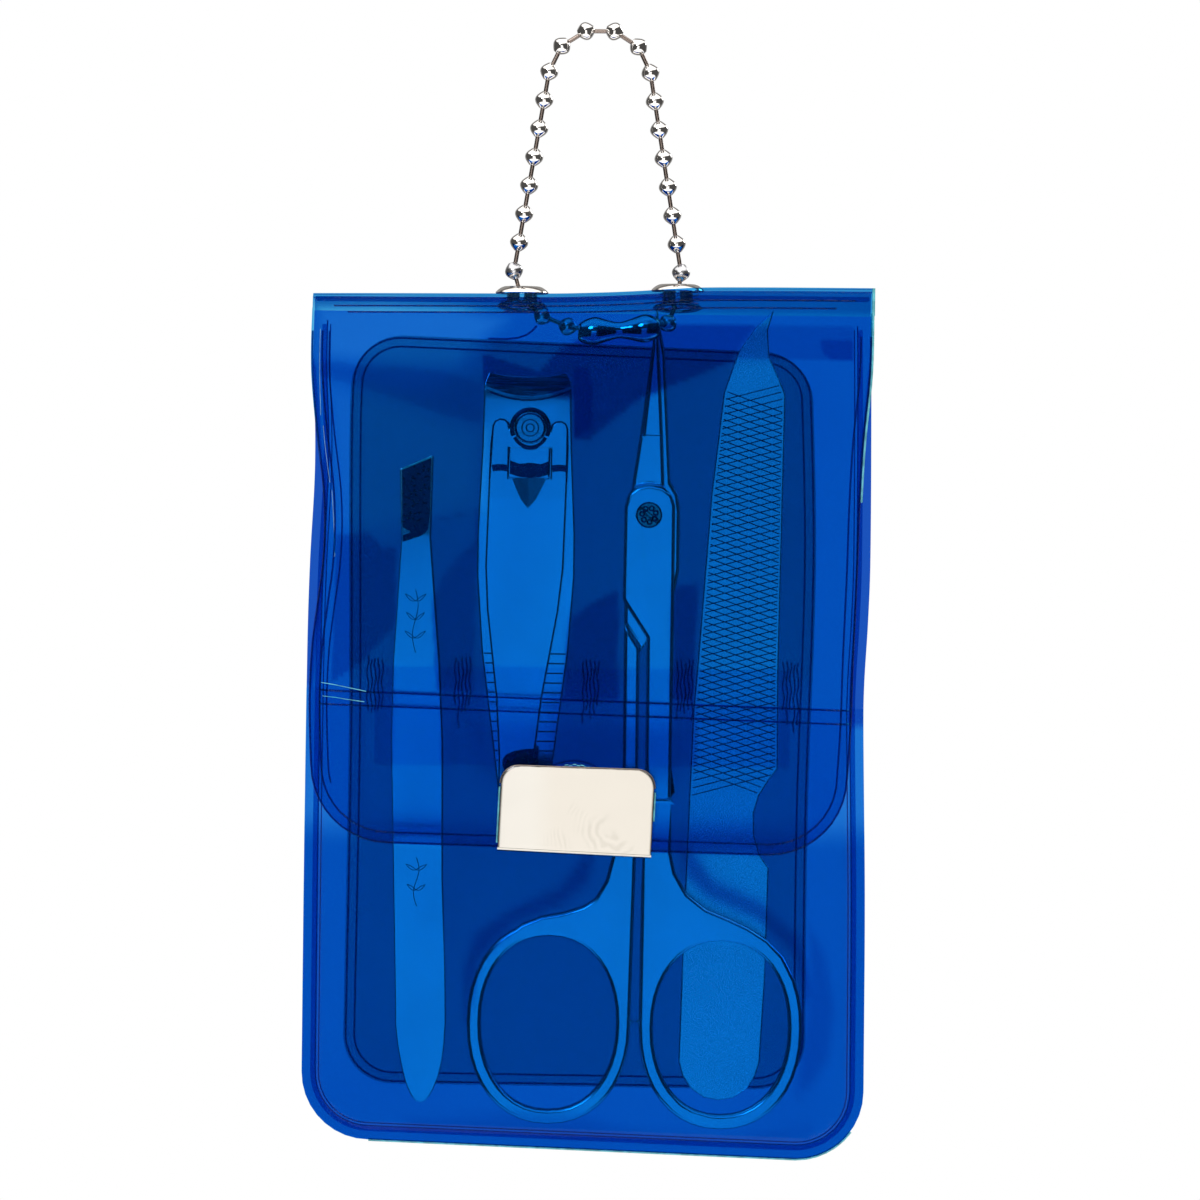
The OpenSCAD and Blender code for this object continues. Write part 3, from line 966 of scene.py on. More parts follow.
@dataclass(frozen=True)
class Panel:
    """The outline of a film panel in the front view, in places across and depths.

    Attributes:
        left: Stations (depth, x) of the left edge.
        right: Stations (depth, x) of the right edge.
        top: Depth of the top edge at its left and right end.
        bottom: Depth of the bottom edge at its left and right end.
        corner: Radius of the bottom corners.
        top_corner: Radius of the top corners.
    """

    left: tuple[Flat, ...]
    right: tuple[Flat, ...]
    top: Flat
    bottom: Flat
    corner: float
    top_corner: float = 0.0

    def rows(self, step: float) -> list[Row]:
        """Rows of the panel's grid, from the top down.

        Args:
            step: The distance between rows.

        Returns:
            For each row a function of u, the share across, which gives (depth, inset).
        """
        bends = [math.pi / 2 * k / 9 for k in range(10)]
        top, low, upper, lower = self.top, self.bottom, self.top_corner, self.corner
        made: list[Row] = []
        if upper:
            made += [lambda u, a=a: (lerp(*top, u) + upper * (1 - math.cos(a)),
                                     upper * (1 - math.sin(a))) for a in bends[:-1]]
        count = max(2, round((low[0] - lower - top[0] - upper) / step))
        made += [lambda u, t=k / count: (lerp(lerp(*top, u) + upper, lerp(*low, u) - lower, t), 0)
                 for k in range(count + 1)]
        if lower:
            made += [lambda u, a=a: (lerp(*low, u) - lower * (1 - math.sin(a)),
                                     lower * (1 - math.cos(a))) for a in bends[1:]]
        return made

    def side(self, right: bool, depth: float, inset: float) -> float:
        """The place across of the left or the right side, some way inside it."""
        return through(self.right, depth) - inset if right else through(self.left, depth) + inset

    def place(self, u: float, depth: float, inset: float) -> float:
        """The place across at a share u of the panel's width."""
        return lerp(self.side(False, depth, inset), self.side(True, depth, inset), u)

    def grid(self, step: float, cols: int, gather: float = 0.5) -> tuple[list[Flat], int]:
        """Points (x, depth) over the panel.

        Args:
            step: The distance between rows.
            cols: How many points a row has.
            gather: How much the columns crowd towards the sides, from 0 to 1.

        Returns:
            The points, row by row, and the number of rows.
        """
        points: list[Flat] = []
        rows = self.rows(step)
        for row in rows:
            for j in range(cols):
                t = j / (cols - 1)
                u = lerp(t, 0.5 - 0.5 * math.cos(math.pi * t), gather)
                depth, inset = row(u)
                points.append((self.place(u, depth, inset), depth))
        return points, len(rows)

    def inside(self, x: float, depth: float) -> float:
        """About how far a point lies inside the sides and the bottom.

        Args:
            x: The point's place across.
            depth: The point's depth.

        Returns:
            The distance, rounded off where two edges are about as near.
        """
        reach = 2.0
        a = x - through(self.left, depth)
        b = through(self.right, depth) - x
        width = max(a + b, 1.0)
        c = lerp(*self.bottom, min(max(a / width, 0.0), 1.0)) - depth
        side = min(a, b)
        r = self.corner
        if side < r and c < r:
            return r - math.hypot(r - side, r - c)
        near, far = min(side, c), max(side, c)
        return near - max(0.0, reach - (far - near)) ** 2 / (6 * reach)

    def run(self, right: bool, inset: float, start: float, stop: float) -> list[Flat]:
        """Points inside one side, from one depth to another, without the last."""
        count = max(2, round((stop - start) / SEAM_STEP))
        return [(self.side(right, d, inset), d)
                for d in (lerp(start, stop, k / count) for k in range(count))]

    def bend(self, right: bool, depth: float, r: float, inset: float,
             start: float) -> list[Flat]:
        """Points inside one corner, whose middle is at a depth, from an angle to 90 less."""
        return arc((self.side(right, depth, r), depth), r - inset, start, start - 90, 10)

    def seam(self, inset: float, start: float, stop: float | None = None) -> list[Flat]:
        """A line at an even distance inside the sides and the bottom.

        Args:
            inset: The distance from the edge.
            start: The depth at which it starts on the left.
            stop: The depth at which it ends on the right.

        Returns:
            Its points (x, depth), from top left round the bottom to top right.
        """
        r = self.corner
        left, right = self.bottom[0] - r, self.bottom[1] - r
        line = self.run(False, inset, start, left) + self.bend(False, left, r, inset, 180)
        line += self.bend(True, right, r, inset, 90)
        return line + self.run(True, inset, start if stop is None else stop, right)[::-1]

    def ring(self, inset: float) -> list[Flat]:
        """A closed line at an even distance inside the whole outline.

        Args:
            inset: The distance from the edge.

        Returns:
            Its points (x, depth), with the first again at the end.
        """
        r = self.top_corner
        left, right = self.top[0] + r, self.top[1] + r
        line = self.seam(inset, left, right) + self.bend(True, right, r, inset, 0)
        line += self.bend(False, left, r, inset, -90)
        return line + line[:1]


@dataclass(frozen=True)
class FilmPatch:
    """A soft patch that darkens a film, where sheets cling and as painted shade, or clears it."""

    outline: tuple[Flat, ...]
    strength: float
    softness: float = 0.12

    def over(self, x: np.ndarray, depth: np.ndarray) -> np.ndarray:
        """The patch's strength at many places, softened across its outline.

        Args:
            x: The places across.
            depth: Their depths.

        Returns:
            The strength at each place.
        """
        inside = np.zeros(x.shape, bool)
        near = np.full(x.shape, 1e9)
        count = len(self.outline)
        for k in range(count):
            (x0, d0), (x1, d1) = self.outline[k], self.outline[(k + 1) % count]
            crossing = (d0 > depth) != (d1 > depth)
            slope = (x1 - x0) / (d1 - d0) if d1 != d0 else 0.0
            inside ^= crossing & (x < x0 + (depth - d0) * slope)
            run = max((x1 - x0) ** 2 + (d1 - d0) ** 2, 1e-9)
            t = np.clip(((x - x0) * (x1 - x0) + (depth - d0) * (d1 - d0)) / run, 0, 1)
            near = np.minimum(near, np.hypot(x - x0 - t * (x1 - x0), depth - d0 - t * (d1 - d0)))
        t = np.clip(np.where(inside, near, -near) / self.softness * 0.5 + 0.5, 0, 1)
        return self.strength * t * t * (3 - 2 * t)


def shade_film(piece: Piece, patches: Sequence[FilmPatch], layer: str = "shade") -> None:
    """Writes the strength of a film's patches to one of its attributes.

    Args:
        piece: The film.
        patches: The patches.
        layer: The attribute's name.
    """
    co = np.empty(len(piece.data.vertices) * 3)
    piece.data.vertices.foreach_get("co", co)
    co = co.reshape(-1, 3) / MM
    total = np.zeros(len(co))
    for patch in patches:
        total = np.maximum(total, patch.over(co[:, 0], -co[:, 2]))
    shade = piece.data.attributes.new(layer, "FLOAT", "POINT")
    shade.data.foreach_set("value", total.astype(np.float32))


def level(line: Sequence[Flat], y: float) -> list[Point]:
    """Lays a line of (x, depth) at a depth in y."""
    return [(x, y, -d) for x, d in line]


def upright(line: Sequence[Flat], y: float) -> list[Point]:
    """Lays a line of (x, z) at a depth in y."""
    return [(x, y, z) for x, z in line]


CASE_LEFT: tuple[Flat, ...] = (
    (0, -32.1), (9, -32.2), (16, -31.9), (22, -31.9), (31, -32.3), (40, -32.5), (64, -32.6),
    (90, -32.6),
)
CASE_RIGHT: tuple[Flat, ...] = (
    (0, 32.2), (12, 32.4), (31, 32.5), (38, 32.3), (44.4, 31.97), (49, 31.9), (70, 32.3),
    (91, 32.4),
)


@dataclass
class Pouch(Assembly):
    """The film of the case: back panel, card, tool band, pocket, strip and cover."""

    slot: ClassVar[str] = "vinyl_film"
    body: Panel = Panel(CASE_LEFT, CASE_RIGHT, (2.4, 2.4), (98.2, 99.9), 7.8)
    pocket: Panel = Panel(CASE_LEFT, CASE_RIGHT, (46.0, 47.8), (98.2, 99.9), 7.8)
    card: Panel = Panel(
        left=((5, -27.5), (15, -27.9), (50, -27.6), (92, -27.9)),
        right=((5, 25.4), (30, 26.2), (60, 25.6), (92, 25.6)),
        top=(5.2, 6.6), bottom=(91.7, 91.9), corner=5.7, top_corner=5.7,
    )
    flap: Panel = Panel(
        left=((0, -32.1), (9, -32.2), (16, -31.6), (18.3, -31.3), (23, -30.7), (27.5, -30.5),
              (32, -30.7), (36, -31.2), (41, -31.8), (47, -32.05), (52.5, -31.9), (58, -31.6)),
        right=((0, 32.2), (9, 32.1), (17, 31.4), (24, 31.05), (32, 30.85), (42, 30.5),
               (50, 30.3), (57, 29.9)),
        top=(2.0, 2.0), bottom=(63.7, 64.6), corner=9.0,
    )
    glint_runs: tuple[tuple[Flat, ...], ...] = (
        ((4.8, -31.15), (9, -31.2), (14.7, -31.0)),
        ((15.9, -30.7), (19, -30.35), (22.4, -29.85)),
        ((23.3, -29.6), (27, -29.35), (30.9, -29.2)),
        ((12.5, -31.75), (16, -31.45), (20, -30.95)),
    )
    band_depths: Flat = (43.4, 54.7)
    band_welds: tuple[float, ...] = (-24.6, -14.5, 0.3, 11.2, 23.4)
    band_fronts: tuple[tuple[float, float, float], ...] = (
        (-23.2, -15.9, -1.65), (-13.3, -1.1, -1.65), (2.3, 9.7, -1.65), (11.85, 22.7, 2.45)
    )
    lifts: tuple[Flat, ...] = ((-32, -0.6), (-5, -0.48), (1, -0.3), (5.6, -0.05), (10.8, 0.35),
                               (16, 0.5), (32, 0.7))
    # Darker strips of the back beside the flap's edges
    dark_side_strips: tuple[FilmPatch, ...] = (
        FilmPatch(((-34, 2), (-31.9, 9), (-31.1, 18), (-30.4, 25), (-30.5, 31), (-31.2, 38),
               (-31.9, 46), (-34, 46)), 0.9),
        FilmPatch(((34, 2), (32, 9), (31.2, 18), (30.9, 28), (30.7, 36), (30.3, 44), (30.2, 50),
               (34, 50)), 0.9),
    )
    # Patches that clear the film of the pocket, the band and the cover, so that what lies behind looks
    # brighter
    cleared_pocket: tuple[FilmPatch, ...] = (
        FilmPatch(((-34, 40), (34, 40), (34, 62), (-34, 62)), 0.85, 2.5),
        FilmPatch(((-27, 40), (27, 40), (27, 62), (-27, 62)), 1.0, 2.5),
    )
    cleared_band: tuple[FilmPatch, ...] = (
        FilmPatch(((-34, 30), (34, 30), (34, 62), (-34, 62)), 0.7, 0.5),
        FilmPatch(((-22.7, 38), (-16.5, 38), (-16.5, 60), (-22.3, 60)), 1.0, 0.3),
        FilmPatch(((-12.8, 38), (-1.9, 38), (-3.4, 50), (-4.4, 60), (-10.8, 60), (-11.9, 50)),
              1.0, 0.3),
        FilmPatch(((3.6, 38), (9.9, 38), (9.9, 60), (3.6, 60)), 1.0, 0.3),
        FilmPatch(((12.8, 38), (22.2, 38), (22, 54.8), (20, 58), (11.9, 60)), 1.0, 0.3),
    )
    cleared_cover: tuple[FilmPatch, ...] = (
        FilmPatch(((-31.6, 2.0), (-24, 1.8), (-15, 2.2), (-10, 3.6), (-13, 6.5), (-15.5, 8.8),
               (-22, 8.7), (-27.6, 8.4), (-31.4, 8.0)), 0.62, 1.6),
        FilmPatch(((-30.6, 10.6), (-27.5, 11.6), (-22, 13.2), (-16.2, 15.2), (-12.8, 16.5),
               (-13, 25), (-18.4, 26.4), (-24, 27.6), (-29.4, 27.8)), 0.32, 2.2),
    )
    # A darker patch over the card above the pocket, apart from its top left
    dark_card_patch: tuple[FilmPatch, ...] = (
        FilmPatch(((-34, 10.5), (-20, 11.5), (-12.5, 9), (-11, 0), (34, 0), (34, 45), (-34, 45)),
              1.0, 1.5),
    )
    mouth_runs: tuple[tuple[Flat, ...], ...] = (
        ((-30.6, 45.35), (-29, 45.6), (-27.2, 45.95), (-25.4, 46.3)),
        ((-30.4, 46.9), (-28.9, 47.05), (-27.2, 47.3), (-25.6, 47.5)),
    )
    # Darker patches on the cover: along the fold, where it clings to the sheets below, and painted
    # shade beside the tools
    cover_cling_and_shade: tuple[FilmPatch, ...] = (
        FilmPatch(((-34, -3), (34, -3), (34, 2.2), (-34, 2.2)), 0.22, 0.3),
        FilmPatch(((-31, 8.3), (-27.6, 8.8), (-22, 9.0), (-16.3, 9.7), (-12.5, 11), (-12.5, 15.6),
               (-16.2, 14.8), (-22, 12.8), (-27.5, 11.2), (-31, 10.2)), 0.25),
        FilmPatch(((-12.5, 7.5), (-6, 9.5), (-3.5, 6.8), (1, 4.6), (9, 4.1), (18.9, 4.0),
               (17.2, 6.2), (16.1, 8.0), (12.5, 9.6), (5.6, 12.4), (1, 16.2), (-0.3, 17.4), (-2, 17.2),
               (-2, 12.5), (-7, 11.5), (-12.5, 11)), 0.7),
        FilmPatch(((18.9, 4.0), (30, 3.8), (30, 7.7), (16.3, 7.7), (17.2, 6.2)), 0.35),
        FilmPatch(((-2, 9), (-0.2, 9.2), (0.3, 12), (0, 16), (-2, 17)), 1.0),
        FilmPatch(((26.2, 5.2), (30, 5.2), (30, 7.7), (27.4, 7.7), (26.4, 6.9)), 0.7),
        FilmPatch(((-29, 28.3), (-25.3, 28.1), (-24.2, 29.2), (-23.8, 30), (-22.2, 29.6),
               (-22.2, 38.8), (-26, 43), (-29.4, 45.3), (-29.2, 36)), 0.48),
        FilmPatch(((-18.4, 27), (-13, 25.6), (-13, 28.8), (-15.2, 31), (-16.7, 33), (-18, 36),
               (-17.4, 46), (-13, 46), (-13, 34), (-12.6, 25.4), (-18.4, 26.6)), 0.36),
        FilmPatch(((-2, 37.6), (-0.3, 36.3), (2.3, 34.8), (3.4, 34.4), (3.4, 47), (-3, 47)), 0.6),
        FilmPatch(((9.7, 34), (12.4, 33.4), (12.1, 47), (9.7, 47)), 0.6),
        FilmPatch(((-13, 50), (12, 50), (12, 53.5), (10, 56), (-12, 56)), 0.25, 1.6),
    )
    # Painted shade on the pocket round the tools
    pocket_painted_shade: tuple[FilmPatch, ...] = (
        FilmPatch(((25.8, 73), (27.6, 76), (28.6, 82), (28, 88), (26, 91), (24.5, 92), (25.8, 80)),
              0.30, 0.8),
        FilmPatch(((-13.8, 78), (-12.6, 74), (-8, 70.8), (-3, 68.7), (0.4, 64), (1, 64), (0.2, 68),
               (-3, 70.5), (-8, 72.5), (-12.3, 77), (-13.6, 84)), 0.55, 0.7),
        FilmPatch(((11, 64), (11.4, 67), (14, 69.4), (20, 72), (24, 76), (25.6, 82), (26.2, 80),
               (24.6, 74), (20.5, 70.4), (14.6, 67.8), (12, 64)), 0.5, 0.7),
        FilmPatch(((-20, 95.6), (-8, 94.6), (0, 95), (6, 96.4), (16, 97.2), (26, 95.8), (26, 96.6),
               (12, 98), (-4, 97), (-20, 96.6)), 0.25, 1.0),
    )

    def lift(self, x: float) -> float:
        """How much the top fold rises towards its right end and sinks towards its left."""
        return through(self.lifts, x)

    def ripple(self, x: float, depth: float) -> float:
        """The small unevenness of the flap's face, which is still where the plate holds it.

        Args:
            x: The place across.
            depth: The depth.

        Returns:
            How far the face lies back there.
        """
        still = smooth(math.hypot((x + 1) / 12, (depth - 59) / 9), 0.9, 1.8)
        start = smooth(depth, 3, 9)
        wave = noise.noise(Vector((x * 0.075, depth * 0.055, 2.7)))
        return -0.16 * still * start * (0.55 + wave)

    def flap_face(self, x: float, depth: float) -> float:
        """The depth in y of the flap's outer face."""
        return FRONT_Y + crown(x) + self.ripple(x, depth)

    def on_flap(self, x: float, depth: float, out: float) -> Point:
        """A point some way before the flap's outer face."""
        return (x, self.flap_face(x, depth) - out, -depth)

    def pocket_face(self, x: float, depth: float) -> float:
        """The depth in y of the pocket's outer face.

        Args:
            x: The place across.
            depth: The depth.

        Returns:
            The place in y, which is the card's at the welds and beyond them.
        """
        seam, reach, steepness, front = 1.4, 7.0, 15.0, -2.62
        e = self.pocket.inside(x, depth) - seam
        if e <= 0:
            return CARD_Y
        fall = (1 - min(e / reach, 1.0)) ** steepness
        swell = 0.12 * noise.noise(Vector((x * 0.09, depth * 0.08, 6.1))) * smooth(e, 2, 8)
        return lerp(front, CARD_Y, fall) + swell - 0.06 * smooth(e, 2, 8)

    def cover(self) -> None:
        """The one sheet that runs from the back panel over the fold to the flap's edge."""
        cols = 177
        shares = [lerp(t, 0.5 - 0.5 * math.cos(math.pi * t), 0.3)
                  for t in (j / (cols - 1) for j in range(cols))]
        path = [(BACK_Y, 0.0, -2.38)]
        path += [(y, 0.0, z) for y, z in arc((BACK_Y - FOLD_R, -FOLD_R), FOLD_R, 0, 90, 8)]
        path += [(lerp(BACK_Y - FOLD_R, FRONT_Y + FOLD_R, k / 12), k / 12,
                  -0.12 * math.sin(math.pi * k / 12)) for k in range(1, 12)]
        path += [(y, 1.0, z)
                 for y, z in arc((FRONT_Y + FOLD_R, -FOLD_R), FOLD_R, 90, 180, 9)[:-1]]
        points: list[Point] = []
        for k, (y, crowning, z) in enumerate(path):
            rise = smooth(k, 0, 8) if k < 8 else smooth(z, -6, -1)
            for u in shares:
                x = self.flap.place(u, 0.0, 0.0)
                points.append((x, y + crowning * crown(x), z + self.lift(x) * rise))
        for row in self.flap.rows(0.45):
            for u in shares:
                depth, inset = row(u)
                x = self.flap.place(u, depth, inset)
                rise = self.lift(x) * smooth(-depth, -6, -1)
                points.append((x, self.flap_face(x, depth), -depth + rise))
        cover = mesh_piece("flap_and_fold", points, grid_faces(len(points) // cols, cols))
        dress(cover, self.finishes.film, self.finishes.edge)
        punch(thicken(cover))
        shade_film(cover, self.cover_cling_and_shade)
        shade_film(cover, self.cleared_cover, "thin")
        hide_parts("top_fold", "flap")
        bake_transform(cover)
        log.info("%s bends between case and flap", cover.name)

    def sheet(self, name: str, node: str, points: Sequence[Point], cols: int, finish: Material,
              thickness: float, shade: Sequence[FilmPatch] = (), thin: Sequence[FilmPatch] = ()) -> None:
        """Makes one sheet of the case.

        Args:
            name: The piece's name.
            node: The CAD node that it replaces.
            points: The points of its outer face, row by row.
            cols: How many points a row has.
            finish: Its finish.
            thickness: Its thickness.
            shade: Patches where it clings to another sheet.
            thin: Patches where it is stretched.
        """
        sheet = mesh_piece(name, points, grid_faces(len(points) // cols, cols))
        thicken(dress(sheet, finish, self.finishes.edge), thickness)
        for layer, patches in (("shade", shade), ("thin", thin)):
            if patches:
                shade_film(sheet, patches, layer)
        settle(sheet, "case", self.slot, node)

    def sheets(self) -> None:
        """The back, the front pocket, the card and the band that holds the tools."""
        done, wide, narrow = self.finishes, 121, 33
        back = level(self.body.grid(1.0, wide, 0.8)[0], BACK_Y - FILM_T)
        self.sheet("back_film", "back_panel", back, wide, done.back, FILM_T, self.dark_side_strips)
        pocket = [(x, self.pocket_face(x, d), -d) for x, d in self.pocket.grid(0.9, wide, 0.75)[0]]
        self.sheet("pocket_film", "front_pocket", pocket, wide, done.film, 0.34,
                   self.pocket_painted_shade, self.cleared_pocket)
        card = level(self.card.grid(2.0, narrow)[0], CARD_Y)
        self.sheet("card_film", "inner_card", card, narrow, done.card, 0.34, self.dark_card_patch)
        section = self.band_section()
        top, bottom = self.band_depths
        band: list[Point] = []
        for i in range(13):
            depth = lerp(top, bottom, i / 12)
            end = 1 - smooth(depth, top, top + 4) + smooth(depth, bottom - 3, bottom)
            for x, y in section:
                wave = 0.25 * noise.noise(Vector((x * 0.22, 4.0, i * 0.03)))
                band.append((x, y, -depth - wave * end))
        self.sheet("band_film", "tool_band", band, len(section), done.film, 0.3,
                   thin=self.cleared_band)

    def band_section(self) -> list[Flat]:
        """The tool band's outer face in plan.

        Returns:
            Its points (x, y), from left to right.
        """
        base = CARD_Y - FILM_T
        line: list[Flat] = []
        for k, (left, right, inner) in enumerate(self.band_fronts):
            x0, x1, front = self.band_welds[k], self.band_welds[k + 1], inner - FILM_T
            line += [
                (x0, base), (x0 + 0.35, base), (left - FILM_T, front + 0.9),
                (left + 0.1, front), (lerp(left, right, 0.5), front - 0.05),
                (right - 0.1, front), (right + FILM_T, front + 0.9), (x1 - 0.35, base),
            ]
        line.append((self.band_welds[-1], base))
        for _ in range(2):
            finer: list[Flat] = [line[0]]
            for a, b in zip(line, line[1:]):
                finer += [(lerp(a[0], b[0], t), lerp(a[1], b[1], t)) for t in (0.2, 0.8)]
            line = finer + [line[-1]]
        return line

    def fold_strip(self) -> None:
        """The strip under the fold that the eyelets bite into."""
        cols = 43
        line = [lerp(-31.75, 31.8, j / (cols - 1)) for j in range(cols)]
        points = [(x, lerp(-1.5, 2.9, i / 6), -0.4 + min(self.lift(x), 0.0))
                  for i in range(7) for x in line]
        strip = mesh_piece("fold_strip_film", points, grid_faces(7, cols))
        dress(strip, self.finishes.film, self.finishes.edge)
        strip.data.flip_normals()
        punch(thicken(strip))
        settle(strip, "case", self.slot, "fold_strip")

    def case_welds(self) -> None:
        """The raised weld lines of the case, and a painted highlight along its edge."""
        done, body, pocket = self.finishes, self.body, self.pocket
        card = [level(self.card.ring(inset), CARD_Y - 0.05) for inset in (0.3, 1.3)]
        card.append(upright(((-12, -5.45), (-9.9, -5.5), (-8.6, -5.35), (-7.6, -5.0),
                             (-6.9, -4.5), (-6.4, -3.9)), CARD_Y - 0.05))
        folds = [[self.crease_point(lerp(x0, x1, k / 60), depth) for k in range(61)]
                 for depth, x0, x1 in ((1.55, -29.6, 30.2), (2.35, -28, 28))]
        low = [(x, d) for x, d in body.seam(-0.05, 3.0) if d > 90 and -25 < x < 31.5]
        edges = [level(low, BACK_Y - 0.3)]
        edges.append([(32.25, FRONT_Y + FOLD_R + 0.2, z) for z in (0.55, -0.4, -1.4, -2.6)])
        puckers: list[list[Point]] = []
        for n, weld in enumerate(self.band_welds):
            for k in range(5):
                x = weld + (k - 2) * 0.42
                d0 = 42.2 + 1.3 * abs(noise.noise(Vector((n * 3.1, k * 1.7, 0.4))))
                d1 = 47.5 + 5.0 * abs(noise.noise(Vector((n * 2.3, k * 2.9, 5.4))))
                puckers.append([
                    (x + 0.12 * math.sin(2.1 * d + k + n), 3.62 - 0.08 * math.sin(d), -d)
                    for d in (lerp(d0, d1, t / 8) for t in range(9))
                ])
        crush = [
            [self.crease_point(mid + (2.6 - 0.25 * abs(k - 2)) * (2 * t / 14 - 1),
                               0.55 + 0.42 * k + 0.10 * math.sin(1.9 * t + 2 * k + n))
             for t in range(15)]
            for n, mid in enumerate(EYELETS_X) for k in range(5)
        ]
        for name, paths, radius, finish, sides in (
            ("pocket_weld_band", [level(pocket.seam(1.25, 4.0), CARD_Y + 0.06)], 0.26,
             done.film, 12),
            ("pocket_weld_lines", [level(pocket.seam(1.95, 4.0), CARD_Y - 0.03)], 0.07,
             done.weld, 8),
            ("back_weld_lines", [level(body.seam(1.55, 3.5), BACK_Y + 0.01)], 0.08, done.weld, 8),
            ("card_weld_lines", card, 0.12, done.weld, 8),
            ("mouth_weld_lines", [self.mouth_line(0.18), self.mouth_line(1.75)], 0.12,
             done.weld, 8),
            ("fold_weld_lines", folds, 0.10, done.weld, 8),
            ("lit_outline", edges, 0.16, done.edge, 8),
            ("snap_ring_line", [self.snap_arc(5.4, 58, 122)], 0.10, done.weld, 8),
            ("band_weld_puckers", puckers, 0.10, done.weld, 6),
            ("eyelet_crush_lines", crush, 0.085, done.weld, 6),
        ):
            self.line(name, "case", paths, radius, finish, sides)

    def snap_arc(self, r: float, start: float, stop: float) -> list[Point]:
        """An arc over the snap, between two angles, where the pocket's film is pressed."""
        line = arc((SNAP_AT[0] - 0.6, SNAP_AT[1]), r, start, stop, 12)
        return [(x, self.pocket_face(x, -z) - 0.04, z) for x, z in line]

    def mouth_line(self, below: float) -> list[Point]:
        """A line along the pocket's mouth.

        Args:
            below: How far it lies below the mouth's edge.

        Returns:
            Its points.
        """
        line: list[Point] = []
        for k in range(64):
            u = lerp(0.03, 0.97, k / 63)
            depth = lerp(*self.pocket.top, u) + below
            x = self.pocket.place(u, depth, 0.0)
            line.append((x, self.pocket_face(x, depth) - 0.02, -depth))
        return line

    def crease_point(self, x: float, depth: float) -> Point:
        """A point on the front crease of the fold.

        Args:
            x: Its place across.
            depth: Its depth below the fold's top.

        Returns:
            The point.
        """
        drop = min(depth, FOLD_R)
        y = FRONT_Y + FOLD_R + crown(x) - math.sqrt(max(FOLD_R**2 - (FOLD_R - drop) ** 2, 0))
        return (x, y - 0.02, -depth + self.lift(x) * smooth(-depth, -6, -1))

    def flap_welds(self) -> None:
        """The flap's raised weld lines, painted glints and a painted highlight on its right edge."""
        done, flap = self.finishes, self.flap
        welds = [[self.on_flap(x, d, 0.03) for x, d in flap.seam(i, 5.0)] for i in (0.16, 1.3)]
        inner = [self.on_flap(x, d, -FILM_T - 0.02) for x, d in flap.seam(2.1, 5.0)[:36]]
        glints = [[self.on_flap(through(run, d), d, 0.06)
                   for d in (lerp(run[0][0], run[-1][0], k / 14) for k in range(15))]
                  for run in self.glint_runs]
        mouth = [[self.on_flap(x, d, 0.07) for x, d in run] for run in self.mouth_runs]
        snap = [[self.on_flap(x, -z, 0.06)
                 for x, _, z in self.snap_arc(5.04 - 0.1 * (k % 2), 66 + 5.2 * k, 70.6 + 5.2 * k)]
                for k in range(9)]
        depths = [lerp(2.3, 24.0, k / 36) for k in range(37)]
        edge = [(x + 0.02, self.flap_face(x, d) + 0.2, -d)
                for x, d in ((through(flap.right, d), d) for d in depths)]
        for name, paths, radius, finish in (
            ("flap_weld_lines", welds, 0.12, done.weld),
            ("flap_inner_weld", [inner], 0.10, done.weld),
            ("flap_glints", glints, 0.035, done.glint),
            ("flap_mouth_glints", mouth, 0.04, done.edge),
            ("flap_snap_glints", snap, 0.055, done.edge),
            ("flap_lit_edge", [edge], 0.2, done.edge),
        ):
            self.line(name, "flap", paths, radius, finish)

    def build(self) -> None:
        """Builds every piece of film."""
        self.cover()
        self.sheets()
        self.fold_strip()
        self.case_welds()
        self.flap_welds()


